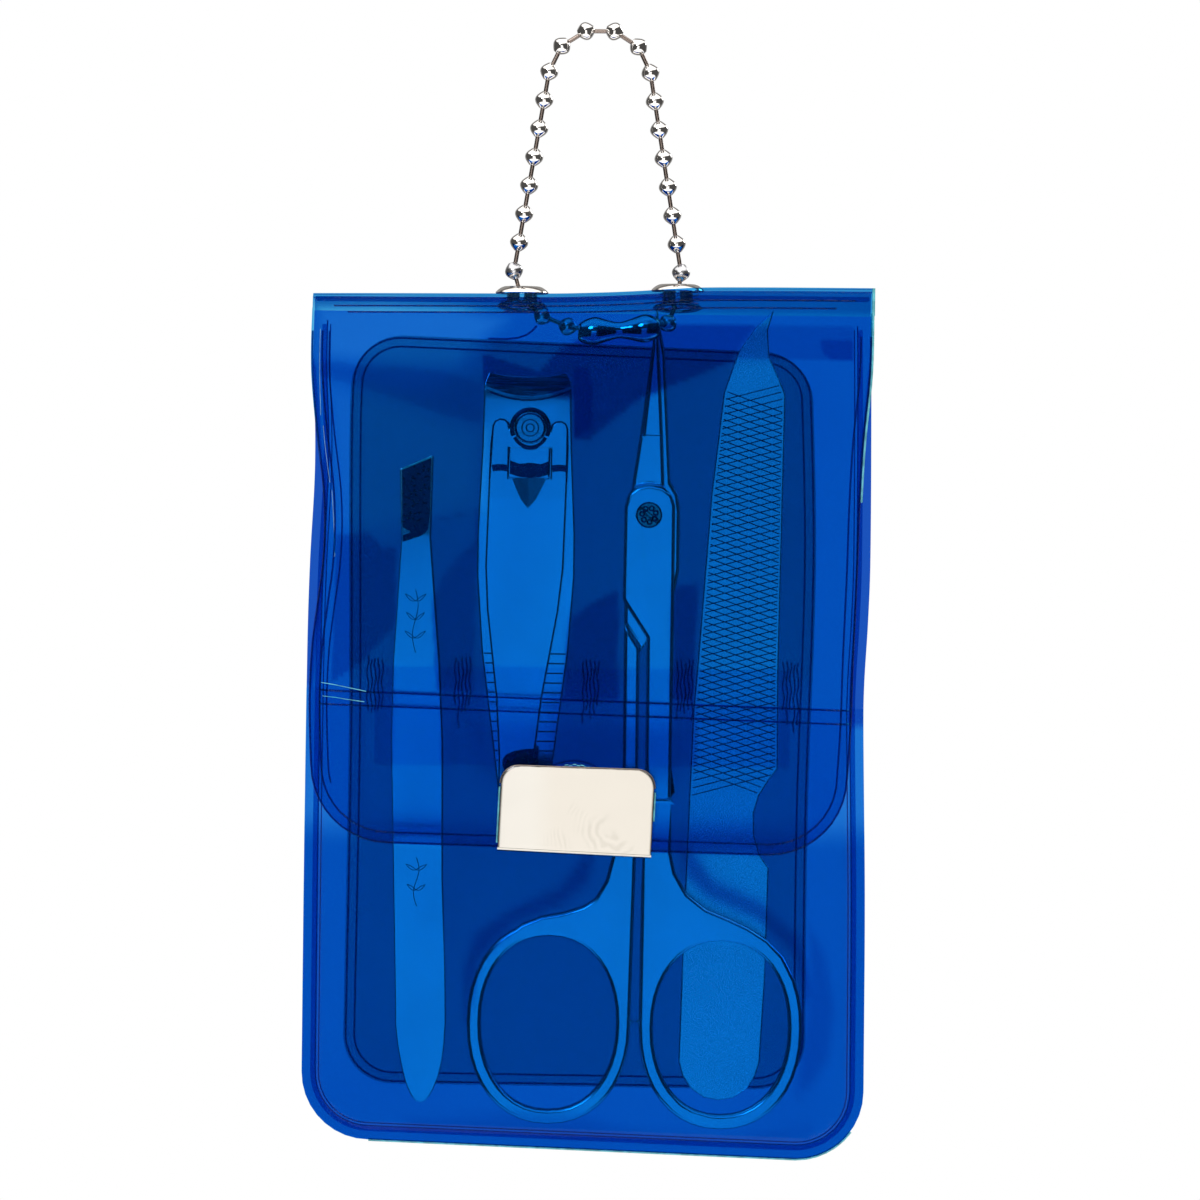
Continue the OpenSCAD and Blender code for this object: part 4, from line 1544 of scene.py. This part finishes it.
@dataclass
class Clasp(Assembly):
    """The folded plate on the flap's edge, and the press snap behind it."""

    slot: ClassVar[str] = "clasp_plate"
    width: float = 17.6
    top: float = -54.75
    bottom: float = -64.3
    corner: float = 2.1
    thickness: float = 0.4
    tilt: float = math.radians(2.3)
    top_tilt: float = math.radians(1.3)
    middle: Flat = (-1.15, -59.5)

    def spot(self, a: float, b: float) -> Flat:
        """The place on the plate.

        Args:
            a: How far it lies along the plate from its middle.
            b: The share of the plate's height.

        Returns:
            The place as (x, z).
        """
        low = self.bottom - a * math.tan(self.tilt)
        high = self.top - a * math.tan(self.top_tilt)
        z = lerp(low, high, b)
        return (self.middle[0] + a + (z - self.middle[1]) * math.tan(self.tilt), z)

    def shoulder(self, rise: float, steps: int) -> list[Flat]:
        """The plate's upper corner, from the top down, as (share of the height, inset)."""
        return [(1 + (rise - self.corner * (1 - math.cos(a))) / (self.top - self.bottom),
                 self.corner * (1 - math.sin(a)))
                for a in (math.pi / 2 * k / steps for k in range(steps + 1))]

    def leaf(self, name: str, outer: float, rise: float) -> Piece:
        """One leaf of the plate.

        Args:
            name: The piece's name.
            outer: How far its outer face lies behind the flap's outer face.
            rise: How far it stands above the plate's top edge.

        Returns:
            A closed leaf.
        """
        half, cols = self.width / 2, 45
        levels = self.shoulder(rise, 12)
        start = levels[-1][0]
        levels += [(lerp(start, 0.0, k / 14), 0.0) for k in range(1, 15)]
        points: list[Point] = []
        for b, inset in levels:
            for j in range(cols):
                a = lerp(-half + inset, half - inset, j / (cols - 1))
                x, z = self.spot(a, b)
                dent = 0.02 * noise.noise(Vector((a * 0.35, b * 4, outer)))
                points.append((x, FRONT_Y + outer + crown(x) + dent, z))
        leaf = mesh_piece(name, points, grid_faces(len(levels), cols))
        modify(leaf, "SOLIDIFY", thickness=self.thickness * MM, offset=-1)
        return freeze(leaf)

    def fold(self) -> Piece:
        """The rounded fold that joins both leaves along the bottom.

        Returns:
            A closed bar of half-round section.
        """
        half, t, cols = self.width / 2, self.thickness, 45
        ring = arc((0, 0), 1.5 * t, 180, 360, 10) + arc((0, 0), 0.5 * t, 360, 180, 10)
        points: list[Point] = []
        for j in range(cols):
            x, z = self.spot(lerp(-half, half, j / (cols - 1)), 0.0)
            mid = FRONT_Y + crown(x) + 0.5 * t
            points += [(x, mid + dy, z + 0.62 * dz) for dy, dz in ring]
        return tube("fold", points, cols)

    def plate(self) -> None:
        """The plate, its dark rim and two painted highlights on the film beside it."""
        front = bevel(self.leaf("front_leaf", -self.thickness, 0.0), 0.08, 3, 50)
        rear = bevel(self.leaf("rear_leaf", self.thickness, 0.05), 0.08, 3, 50)
        plate = soften(joined("clasp_plate_metal", (front, rear, self.fold())), 45)
        settle(dress(plate, self.finishes.plate), "flap", self.slot, "clasp_plate")
        half, turn = self.width / 2 + 0.07, self.shoulder(0.0, 10)
        path = [(-half + inset, b) for b, inset in reversed(turn)]
        path += [(lerp(-half + self.corner, half - self.corner, k / 16), 1.0)
                 for k in range(1, 16)]
        path += [(half - inset, b) for b, inset in turn]
        edge = [(x, FRONT_Y + crown(x) - 0.1, z + 0.07)
                for x, z in (self.spot(a, b) for a, b in path)]
        glints = [[(x, FRONT_Y + crown(x) - 0.06, z) for x, z in (
            self.spot(side * (half + 0.03), lerp(low, 0.74, k / 8)) for k in range(9))]
            for side, low in ((-1, 0.06), (1, 0.4))]
        self.line("clasp_plate_rim", "flap", [edge], 0.075, self.finishes.rim)
        self.line("clasp_side_glints", "flap", glints, 0.10, self.finishes.edge,
                  slot="vinyl_film")

    def snap(self) -> None:
        """The snap's socket, cap and stud, each with its rolled rim."""
        x, z = SNAP_AT
        socket = spun("snap_socket_metal", (
            (2.2, -3.0), (2.2, -3.5), (2.45, -3.78), (2.9, -3.8), (3.35, -3.7), (3.5, -3.45),
            (3.5, -3.1), (3.7, -2.98), (4.7, -3.0), (4.95, -2.9), (5.0, -2.75), (4.9, -2.62),
            (3.0, -2.6), (2.2, -2.62),
        ), (x, 0, z), "y")
        cap = bevel(from_node("snap_cap", "snap_cap_metal"), 0.1)
        stud = bevel(from_node("snap_stud", "snap_stud_metal"), 0.12, 3)
        for piece, body, node in ((socket, "case", "snap_socket"), (cap, "case", "snap_cap"),
                                  (stud, "flap", "snap_stud")):
            settle(dress(piece, self.finishes.snap), body, "snap_metal", node)

    def build(self) -> None:
        """Builds the plate and the snap."""
        self.plate()
        self.snap()


@dataclass
class BallChain(Assembly):
    """The bead chain, its eyelets and its coupler."""

    slot: ClassVar[str] = "ball_chain"
    bead_r: float = 1.05
    wire_r: float = 0.25
    middle_x: float = 0.55
    foot: float = 9.6
    foot_z: float = 2.2
    bend_r: float = 5.9
    bend_z: float = 24.2
    pitches: int = 19
    eyelet_drops: Flat = (0.35, -0.1)
    inner_left: tuple[Point, ...] = ((-8.1, 0, -1), (-5.7, -1.2, -3), (-2.8, -2.1, -4.2),
                                     (0.3, -2.4, -4.7))
    inner_right: tuple[Point, ...] = ((6, -2.4, -4.9), (8.7, -2.1, -3.7), (9.8, 0, -1))

    def middle(self, i: int) -> Point:
        """The middle of one bead of the loop.

        Args:
            i: The bead's number, counted from the left foot.

        Returns:
            Its middle.
        """
        rise = self.bend_z - self.foot_z
        reach = math.hypot(self.foot, rise)
        lean = math.atan2(self.foot, rise) - math.asin(self.bend_r / reach)
        leg = math.sqrt(reach**2 - self.bend_r**2)
        half = leg + self.bend_r * (math.pi / 2 - lean)
        run = min(i, self.pitches - i) * 2 * half / self.pitches
        if run < leg:
            x, z = -self.foot + run * math.sin(lean), self.foot_z + run * math.cos(lean)
        else:
            a = lean + (run - leg) / self.bend_r
            x, z = -self.bend_r * math.cos(a), self.bend_z + self.bend_r * math.sin(a)
        return (self.middle_x + (x if i * 2 <= self.pitches else -x), 0.0, z)

    def wires(self, points: Sequence[Point]) -> list[list[Point]]:
        """The short wires that show between beads.

        Args:
            points: The beads' middles, in order.

        Returns:
            The path of each wire, from mouth to mouth.
        """
        made: list[list[Point]] = []
        for a, b in zip(points, points[1:]):
            va, vb = Vector(a), Vector(b)
            step = (vb - va).normalized() * (self.bead_r * 0.945)
            made.append([tuple(va + step), tuple(va.lerp(vb, 0.5)), tuple(vb - step)])
        return made

    def places(self, points: Sequence[Point]) -> list[tuple[Point, Point]]:
        """Each point of a run with the way the chain goes there."""
        line = [Vector(p) for p in (points[0], *points, points[-1])]
        return [(tuple(p), tuple((after - before).normalized()))
                for before, p, after in zip(line, line[1:], line[2:])]

    def string(self, body: str, part: str, runs: Sequence[Sequence[Point]],
               wires: Sequence[Sequence[Point]], beads_node: str, wires_node: str) -> None:
        """Makes one body's beads and wires.

        Args:
            body: The CAD body.
            part: The word that its pieces' names start with.
            runs: Runs of bead middles.
            wires: Runs of points that the wires join.
            beads_node: The CAD node of the beads.
            wires_node: The CAD node of the wires.
        """
        spots = [spot for run in runs for spot in self.places(run)]
        finish = self.finishes.ground if body == "case" else self.finishes.bead
        beads = self.trees.beads.set(f"{part}_beads", spots, self.bead_r, 71.0, finish)
        settle(beads, body, self.slot, beads_node)
        paths = [path for run in wires for path in self.wires(run)]
        wire = self.trees.ridge.lay(f"{part}_wires", paths, self.wire_r, self.finishes.wire, 14)
        settle(wire, body, self.slot, wires_node)

    def coupler(self) -> None:
        """The coupler: a shell that swells over the two beads that it holds."""
        swell: tuple[Flat, ...] = ((-1.6, 0.9), (-1.1, 1.35), (0.3, 1.75), (1.8, 1.3), (3.1, 1.0),
                                   (4.4, 1.3), (6.0, 1.75), (7.3, 1.35), (7.8, 0.9))
        cols, sides = 56, 28
        points: list[Point] = []
        for j in range(cols):
            x = lerp(swell[0][0], swell[-1][0], j / (cols - 1))
            tall, mid = through(swell, x), lerp(-4.95, -4.35, j / (cols - 1))
            for c, s in arc((0, 0), tall, 0, 360, sides)[:-1]:
                points.append((x, -2.45 + 0.84 * c, mid + (s if s > 0 else 0.86 * s)))
        shell = bevel(tube("coupler_shell", points, cols), 0.15, 2, 50)
        settle(dress(shell, self.finishes.bead), "case", self.slot, "chain_coupler")

    def eyelets(self) -> None:
        """The two eyelets, each a rolled dome with a tube, and the washers under the fold."""
        domes, washers = [], []
        lean = Matrix.Rotation(math.radians(-9), 4, "X")
        for x, drop in zip(EYELETS_X, self.eyelet_drops):
            rolled = ((1.45, 0.15), (1.5, 0.46), (1.62, 0.66), (1.8, 0.75), (2.05, 0.75),
                      (2.3, 0.67), (2.55, 0.53), (2.8, 0.34), (2.97, 0.17), (3.05, 0.03),
                      (2.97, -0.08), (2.6, -0.05), (1.75, -0.1))
            dome = [(1.45, -1.2), *((r, z - drop) for r, z in rolled), (1.75, -1.2)]
            domes.append(spun("dome", dome, (x, 0, 0)))
            washer = spun("washer", (
                (1.78, -0.1), (2.4, -0.12), (2.75, -0.08), (2.85, 0.0), (2.7, 0.14),
                (2.3, 0.18), (1.78, 0.1),
            ), (0, 0, 0))
            washer.data.transform(Matrix.Translation((x * MM, 0, -1.85 * MM)) @ lean)
            washers.append(washer)
        for name, pieces, node in (("eyelet_domes", domes, "eyelets"),
                                   ("eyelet_rings", washers, "eyelet_washers")):
            whole = dress(soften(joined(name, pieces)), self.finishes.eyelet)
            settle(whole, "case", "eyelet_metal", node)

    def build(self) -> None:
        """Builds the chain from the inside out."""
        loop = [self.middle(i) for i in range(self.pitches + 1)]
        self.coupler()
        inner = [[*reversed(self.inner_left), loop[0]], [*self.inner_right, loop[-1]]]
        for body, part, runs, wires, nodes in (
            ("case", "inner_chain", inner, inner, "chain_inner"),
            ("chain_lower", "lower_chain", [loop[1:4], loop[-4:-1]], [loop[0:4], loop[-4:]],
             "chain_lower"),
            ("chain_upper", "upper_chain", [loop[4:-4]], [loop[3:-3]], "chain_upper"),
        ):
            self.string(body, part, runs, wires, f"{nodes}_beads", f"{nodes}_links")
        self.eyelets()


@dataclass
class Tweezers(Assembly):
    """Slant tweezers, with an embossed tendril of no particular design on the front arm."""

    bow: tuple[Flat, ...] = ((20, 2.2), (28, 3.3), (36, 3.6), (45, 3.5), (55, 2.9), (68, 1.7),
                             (80, 0), (94, 0))
    facet: tuple[Flat, ...] = (
        (-21.65, -20.85), (-18.3, -19.4), (-18.4, -26.2), (-18.55, -27.6), (-18.9, -28.1),
        (-19.6, -28.5), (-20.5, -28.8), (-21.45, -29.1), (-21.55, -26.0),
    )

    def face(self, depth: float) -> float:
        """The depth in y of the front arm's outer face.

        Args:
            depth: The depth below the fold.

        Returns:
            The place in y.
        """
        for (d0, b0), (d1, b1) in zip(self.bow, self.bow[1:]):
            if depth <= d1:
                return TOOL_Y - 1.8 - lerp(b0, b1, (depth - d0) / (d1 - d0))
        return TOOL_Y - 1.8

    def tendril(self, mid: float, top: float, bottom: float, width: float,
                leaves: int) -> list[list[Point]]:
        """The lines of one ornament: a waving stem with paired leaves.

        Args:
            mid: Its middle across the case.
            top: Its upper depth.
            bottom: Its lower depth.
            width: Its width.
            leaves: How many pairs of leaves it has.

        Returns:
            The paths of its lines.
        """
        def on_arm(x: float, depth: float) -> Point:
            """A point on the arm's face."""
            return (x, self.face(depth) - 0.01, -depth)

        run = bottom - top
        paths = [[on_arm(mid + 0.12 * width * math.sin(6.5 * t / 14), top + run * t / 14)
                  for t in range(15)]]
        for k in range(leaves):
            start = top + run * (k + 0.6) / (leaves + 0.4)
            for side in (-1, 1):
                reach = side * width * (0.46 - 0.06 * (k % 2))
                for bow in (0.2, -0.18):
                    paths.append([
                        on_arm(mid + reach * t / 7,
                               start - run * 0.11 * (t / 7) ** 1.4
                               + bow * math.sin(math.pi * t / 7))
                        for t in range(8)
                    ])
        return paths

    def build(self) -> None:
        """Builds both arms and the ornament."""
        satin = self.finishes.satin
        self.rounded("tweezers_rear_arm", "tweezers_rear", "tweezers", satin, 0.2, 3)
        self.rounded("tweezers_front_arm", "tweezers_front_leaf", "tweezers_front", satin, 0.12,
                     2, 40)
        # The tip's facet, in painted shade
        facet = prism("tweezers_tip_facet_shade", self.facet, lambda z: self.face(-z) - 0.05, 0.25)
        settle(dress(facet, self.finishes.shadow), "tweezers_front", self.slot)
        # A painted highlight along the facet's top edge
        (x0, z0), (x1, z1) = self.facet[:2]
        tip = [(lerp(x0, x1, k / 8), self.face(20) - 0.03, lerp(z0, z1, k / 8) + 0.12)
               for k in range(9)]
        self.line("tweezers_tip_highlight", "tweezers_front", [tip], 0.12, self.finishes.edge)
        # The ornament's embossed lines, drawn in painted shade
        lines = self.tendril(-19.9, 34.6, 41.8, 2.6, 3) + self.tendril(-19.5, 65.4, 71, 2.6, 2)
        self.line("tweezers_ornament", "tweezers_front", lines, 0.045, self.finishes.pressed_line_shade, 6)


@dataclass
class NailClipper(Assembly):
    """The nail clipper, with its lever folded flat."""

    pin_x: float = CLIPPER_X + 0.35
    ear: tuple[Flat, ...] = ((2.3, 0.0), (2.55, 0.5), (2.95, 0.82), (3.5, 0.87), (4.0, 0.64),
                             (4.25, 0.1), (4.4, -2.0), (4.42, -6.0))
    notch: tuple[Flat, ...] = ((2.32, -2.3), (2.34, -4.0), (2.34, -5.5))
    ridge_step: float = 1.12
    ridge_depths: Flat = (41.8, 56.2)
    lean: float = math.radians(1.8)
    lever_y: float = TOOL_Y - 6.2
    pin_y: float = TOOL_Y - 7.08

    def front(self, z: float) -> float:
        """The depth in y of the lever's front at a height z."""
        return self.lever_y if z > -24 else TOOL_Y - lerp(6.2, 3.7, (-24 - z) / 35)

    def lever(self) -> None:
        """The lever, with the dimple that is pressed into it below its notch."""
        lever = from_node("clipper_lever", "clipper_lever_arm")
        y, x = self.lever_y, self.pin_x - 0.05
        dimple = mesh_piece("dimple", [
            (x - 2.5, y - 0.8, -21.0), (x + 2.5, y - 0.8, -21.0), (x - 0.15, y - 0.8, -26.6),
            (x - 2.2, y - 0.01, -21.3), (x + 2.2, y - 0.01, -21.3), (x - 0.15, y + 0.02, -25.9),
            (x, y + 0.4, -21.0),
        ])
        with opened(dimple.data) as work:
            bmesh.ops.convex_hull(work, input=work.verts)
        tidy_mesh(dimple)
        shadow_sides(bevel(lever, 0.2, 3, 28))
        normals = cut(lever, [dimple]).data.attributes.get("custom_normal")
        if normals:
            lever.data.attributes.remove(normals)
        dress(soften(lever, 2), self.finishes.satin, self.finishes.side)
        settle(lever, "clipper_lever", self.slot, "clipper_lever")

    def ridges(self) -> None:
        """The short grip ridges on both sides of the lever, drawn in painted shade."""
        paths: list[list[Point]] = []
        depth = self.ridge_depths[0]
        while depth < self.ridge_depths[1]:
            y = TOOL_Y - (2.2 + 2.8 * (57 - depth) / 33)
            outer = through(((41.5, 4.85), (54, 3.35), (60, 2.7)), depth)
            lean = (depth + PIN_Z) * math.tan(self.lean) - 0.35
            inner = through(((41, 3.1), (47, 2.6), (53.6, 2.0)), depth)
            for side in (-1, 1):
                x0, x1 = CLIPPER_X + side * (inner + 0.1) - lean, CLIPPER_X + side * (outer - 0.1)
                paths.append([(lerp(x0, x1, k / 4), y - 0.01, -depth) for k in range(5)])
            depth += self.ridge_step
        self.line("clipper_grip_ridges", "clipper_jaw", paths, 0.085, self.finishes.pressed_line_shade)

    def jaw(self, z: float) -> float:
        """The depth in y of the jaw's ground lip at a height z."""
        return TOOL_Y - lerp(5.0, 4.3, max(0.0, (z + 12.6) / 3.6)) - 0.04

    def jaw_marks(self) -> None:
        """The jaw's ground lip, a painted highlight along its edge and painted shade below it."""
        curve = [(CLIPPER_X + t, -12.45 + 1.15 * (t / 4.9) ** 2)
                 for t in (lerp(-4.9, 4.9, k / 16) for k in range(17))]
        rim = ((4.35, -9.55), (2.4, -9.95), (0, -10.05), (-2.4, -9.95), (-4.35, -9.55))
        lip = prism("clipper_jaw_lip", curve + [(CLIPPER_X + t, z) for t, z in rim], self.jaw, 0.3)
        settle(dress(lip, self.finishes.lip), "clipper_jaw", self.slot)
        bright = [(x, self.jaw(z) - 0.02, z + 0.12) for x, z in curve]
        self.line("clipper_jaw_highlight", "clipper_jaw", [bright], 0.16, self.finishes.edge)
        under = [(x, self.jaw(z) - 0.01, z - 0.22) for x, z in curve[1:-1]]
        self.line("clipper_jaw_groove_shade", "clipper_jaw", [under], 0.11, self.finishes.shadow)

    def head_marks(self) -> None:
        """Painted shade on the bends and outline of the lever's ears and round the pin."""
        dark, x, y, c, s = (self.finishes.shadow, self.pin_x, self.lever_y, math.cos(self.lean),
                            math.sin(self.lean))
        bends = [[(x + side * lerp(2.55, 4.3, t / 8), y + 0.3,
                   -20.55 + 0.35 * math.sin(math.pi * (0.25 + 0.5 * t / 8)) - 0.25)
                  for t in range(9)] for side in (-1, 1)]
        ears = [[(x + side * a * c + b * s, y - 0.02, PIN_Z + b * c - side * a * s)
                 for a, b in path] for side in (-1, 1) for path in (self.ear, self.notch)]
        hollow = upright(arc((x, PIN_Z), 2.12, -25, 205, 30), y + 0.1)
        shade = upright(arc((x, PIN_Z - 0.25), 1.95, 205, 335, 20), y + 0.2)
        edge = upright(arc((x, PIN_Z), 1.62, 0, 360, 36), self.pin_y)
        for name, body, paths, radius, sides in (
            ("clipper_ear_bend_shade", "clipper_lever", bends, 0.5, 12),
            ("clipper_pin_hollow_shade", "clipper_lever", [hollow], 0.27, 10),
            ("clipper_pin_shade", "clipper_lever", [shade], 0.3, 10),
            ("clipper_ear_outline_shade", "clipper_lever", ears, 0.09, 8),
            ("clipper_pin_edge_shade", "clipper", [edge], 0.1, 8),
        ):
            self.line(name, body, paths, radius, dark, sides)

    def shades(self) -> None:
        """Painted shade in the lever's window, and a painted shadow at the lever's tail."""
        x = self.pin_x
        window = prism("clipper_window_shade", (
            (x - 2.3, -19.6), (x - 1.2, -20.0), (x, -19.85), (x + 1.3, -20.0),
            (x + 2.3, -19.6), (x + 2.3, -21.15), (x + 1.2, -21.5), (x, -21.6),
            (x - 1.2, -21.5), (x - 2.3, -21.15)), lambda z: TOOL_Y - 5.1, 0.3)
        tail_shadow = prism("clipper_lever_tail_shadow", (
            (-5.6, -52.7), (-7.0, -52.75), (-8.4, -53.0), (-9.3, -53.4), (-9.75, -54.0),
            (-9.7, -54.8), (-9.2, -55.6), (-8.0, -56.4), (-6.2, -56.6), (-5.6, -56.0)),
            lambda z: self.front(z) - 0.06, 0.25)
        for piece, body in ((window, "clipper_jaw"), (tail_shadow, "clipper_lever")):
            settle(dress(piece, self.finishes.shadow), body, self.slot)

    def build(self) -> None:
        """Builds the arms, the pin, the rivet, the lever and their marks."""
        done = self.finishes
        self.rounded("clipper_lower_arm", "clipper_lower", "clipper", done.satin, 0.2, 3)
        self.rounded("clipper_upper_arm", "clipper_upper", "clipper_jaw", done.satin, 0.2, 3)
        self.rounded("clipper_pin", "clipper_pin_head", "clipper", done.ground, 0.25, 3)
        self.rounded("clipper_rivet", "clipper_rivet_head", "clipper", done.ground, 0.05, 3)
        # Rings on the pin's head, drawn in painted shade
        rings = [upright(arc((self.pin_x, PIN_Z), r, 0, 360, 28), self.pin_y - 0.03)
                 for r in (0.45, 0.95)]
        self.line("clipper_pin_ring_shade", "clipper", rings, 0.08, done.pressed_line_shade, 6)
        self.lever()
        self.ridges()
        self.jaw_marks()
        self.head_marks()
        self.shades()


@dataclass
class Scissors(Assembly):
    """The nail scissors."""

    screw: Flat = (6.8, -25.7)
    screw_y: float = -1.51
    blade_z: float = -22.0

    def build(self) -> None:
        """Builds both halves and the screw; its petals and the blade's line are painted shade."""
        done = self.finishes
        for half, body in (("front", "scissors"), ("rear", "scissors_rear")):
            node = f"scissors_{half}_half"
            piece = bevel(from_node(node, f"scissors_{half}_blade"), 0.45, 4, 40)
            for face in shadow_sides(piece, 34).data.polygons:
                if face.center.z > self.blade_z * MM and face.material_index == 0:
                    face.material_index = 2
            settle(dress(piece, done.satin, done.side, done.blade), body, self.slot, node)
        self.rounded("scissors_screw", "scissors_screw_head", "scissors", done.screw, 0.12)
        ground = [(lerp(5.75, 8.25, k / 6), -0.33, -16.5 - 0.06 * k / 6) for k in range(7)]
        self.line("scissors_blade_line_shade", "scissors", [ground], 0.06, done.pressed_line_shade, 6)
        x, z = self.screw
        turns = [2 * math.pi * k / 7 + 0.3 for k in range(7)]
        petals = [upright(arc((x + 0.8 * math.cos(a), z + 0.8 * math.sin(a)), 0.26, 0, 360, 12),
                          self.screw_y) for a in turns]
        petals.append(upright(arc(self.screw, 1.4, 0, 360, 32), self.screw_y + 0.08))
        self.line("scissors_screw_petal_shade", "scissors", petals, 0.11, done.shadow, 6)


@dataclass
class NailFile(Assembly):
    """The nail file, with its crossed rows of teeth drawn in painted shade."""

    slot: ClassVar[str] = "file_steel"
    outline: tuple[Flat, ...] = (
        (21, -1.8), (20.3, -4.2), (20.5, -7.2), (21.6, -9.6), (22.4, -11.6), (22.3, -23.1),
        (21.95, -43.1), (22, -54.8), (21.2, -55.8), (19.9, -57.9), (19.3, -60), (19.4, -62.6),
        (20.1, -64.8), (21.1, -66.2), (20.8, -79.5), (20.3, -88.7), (15.6, -93.1), (10.95, -88.7),
        (11.3, -75.7), (11.7, -62.2), (12.2, -47.9),
        (12.6, -43.2), (13.4, -32.4), (14, -23.2), (14.7, -17), (15.3, -11.4), (16.9, -6.8),
        (18.8, -4),
    )
    teeth_depths: Flat = (11.8, 57.0)
    step: float = 0.83
    slopes: Flat = (0.36, -0.27)

    def row(self, slope: float, start: float) -> list[Point] | None:
        """One row of teeth, cut to the outline.

        Args:
            slope: How much the row falls for each millimetre to the right.
            start: Its depth at x = 17.

        Returns:
            Its two ends and its middle, or None if it misses the file.
        """
        hits: list[float] = []
        count = len(self.outline)
        for k in range(count):
            (x0, z0), (x1, z1) = self.outline[k], self.outline[(k + 1) % count]
            g0 = -z0 - start - slope * (x0 - 17)
            g1 = -z1 - start - slope * (x1 - 17)
            if g0 * g1 < 0:
                hits.append(lerp(x0, x1, g0 / (g0 - g1)))
        if len(hits) < 2:
            return None
        hits.sort()
        margin = 0.32
        left, right = hits[0] + margin, hits[-1] - margin
        if right - left < 1.0:
            return None
        y = TOOL_Y - 1.2 - 0.005
        return [(lerp(left, right, t), y, -(start + slope * (lerp(left, right, t) - 17)))
                for t in (0.0, 0.5, 1.0)]

    def build(self) -> None:
        """Builds the blade and its teeth."""
        self.rounded("nail_file", "file_blade", "file", self.finishes.file_face, 0.16)
        rows: list[list[Point]] = []
        for slope in self.slopes:
            start = self.teeth_depths[0]
            while start < self.teeth_depths[1]:
                rows.append(self.row(slope, start))
                start += self.step
        self.line("file_teeth", "file", [row for row in rows if row], 0.065,
                  self.finishes.teeth_shade, 4)


@dataclass
class Studio:
    """The floor, the light and the camera."""

    distance: float = 0.8
    view_width: float = 0.138
    aim: Flat = (0.001275, -0.03553)
    roll: float = 0.0116
    floor_z: float = -0.25
    floor_radius: float = 1.4
    tent: float = 1.65

    def world(self) -> None:
        """A white background and, for what the metals mirror, a light tent with dark sides."""
        world = bpy.data.worlds.new("light_tent")
        w = wired(world)
        place = w.node("ShaderNodeTexCoord").outputs["Generated"]
        x, y, z = w.node("ShaderNodeSeparateXYZ", {0: place}).outputs
        front = w.math("MULTIPLY", w.ramp(y, -0.78, -0.55, 1.0, 0.0),
                       w.ramp(w.math("ABSOLUTE", x), 0.22, 0.36, 1.0, 0.0))
        poles = w.math("MULTIPLY", w.ramp(w.math("ABSOLUTE", z), 0.57, 0.70),
                       w.ramp(y, 0.25, 0.55, 1.0, 0.0))
        slit = w.math("MULTIPLY", w.ramp(z, 0.09, 0.14), w.ramp(z, 0.50, 0.57, 1.0, 0.0))
        lit = w.math("MULTIPLY", w.math("MAXIMUM", front, poles),
                     w.math("SUBTRACT", 1.0, w.math("MULTIPLY", slit, 0.97)))
        rear = w.math("MULTIPLY", w.ramp(y, 0.5, 0.75), 0.15)
        bright = w.math("ADD", w.math("MAXIMUM", lit, rear), 0.05)
        glow = w.out("ShaderNodeBackground", {
            "Color": (1.0, 0.985, 0.965), "Strength": w.math("MULTIPLY", bright, self.tent)})
        plain = w.out("ShaderNodeBackground", {"Color": (1.0, 1.0, 1.0)})
        seen = w.node("ShaderNodeLightPath").outputs["Is Camera Ray"]
        w.node("ShaderNodeOutputWorld", {"Surface": w.mix(seen, glow, plain)})
        bpy.context.scene.world = world

    def floor(self) -> None:
        """A plain pale floor below the object."""
        corners = 96
        rim = arc((0, 0), self.floor_radius / MM, 0, 360, corners)[:-1]
        floor = mesh_piece("floor", [(x, y, self.floor_z / MM) for x, y in rim],
                           (tuple(range(corners)),))
        dress(floor, PaleFloor("pale_floor").material())
        floor.visible_glossy = False

    def lamp(self, name: str, place: Point, size: float, power: float) -> None:
        """Adds a soft area lamp that looks at the object.

        Args:
            name: The lamp's name.
            place: Its place, in metres.
            size: Its width, in metres.
            power: Its power, in watts.
        """
        data = bpy.data.lights.new(name, "AREA")
        data.shape = "DISK"
        data.size = size
        data.energy = power
        lamp = linked(bpy.data.objects.new(name, data))
        lamp.location = place
        way = Vector((0.0, 0.0, self.aim[1])) - Vector(place)
        lamp.rotation_euler = way.to_track_quat("-Z", "Y").to_euler()

    def camera(self) -> None:
        """The camera at the photograph's place, turned by the photograph's small roll."""
        data = bpy.data.cameras.new("camera")
        data.sensor_width = 36.0
        data.lens = data.sensor_width * self.distance / self.view_width
        data.clip_start = 0.01
        camera = linked(bpy.data.objects.new("camera", data))
        right = Vector((1.0, 0.0, self.roll)).normalized()
        back = Vector((0.0, -1.0, 0.0))
        turn = Matrix((right, back.cross(right), back)).transposed().to_4x4()
        place = (self.aim[0], -self.distance, self.aim[1])
        camera.matrix_world = Matrix.Translation(place) @ turn
        bpy.context.scene.camera = camera

    def build(self) -> None:
        """Sets up the studio."""
        scene = bpy.context.scene
        scene.view_settings.view_transform = "Standard"
        scene.cycles.transparent_max_bounces = 64
        scene.cycles.max_bounces = 16
        self.world()
        self.floor()
        self.lamp("key_light", (-0.5, -1.1, 0.7), 0.5, 6.0)
        self.lamp("fill_light", (0.9, 0.9, 0.5), 0.6, 5.0)
        self.camera()


def main() -> None:
    """Builds the whole object in its studio."""
    logging.basicConfig(level=logging.INFO, format="%(name)s: %(message)s")
    finishes, trees = Finishes(), Trees()
    Studio().build()
    for assembly in (BallChain, Tweezers, NailClipper, Scissors, NailFile, Clasp, Pouch):
        assembly(finishes, trees).build()


if __name__ == "__main__":
    main()
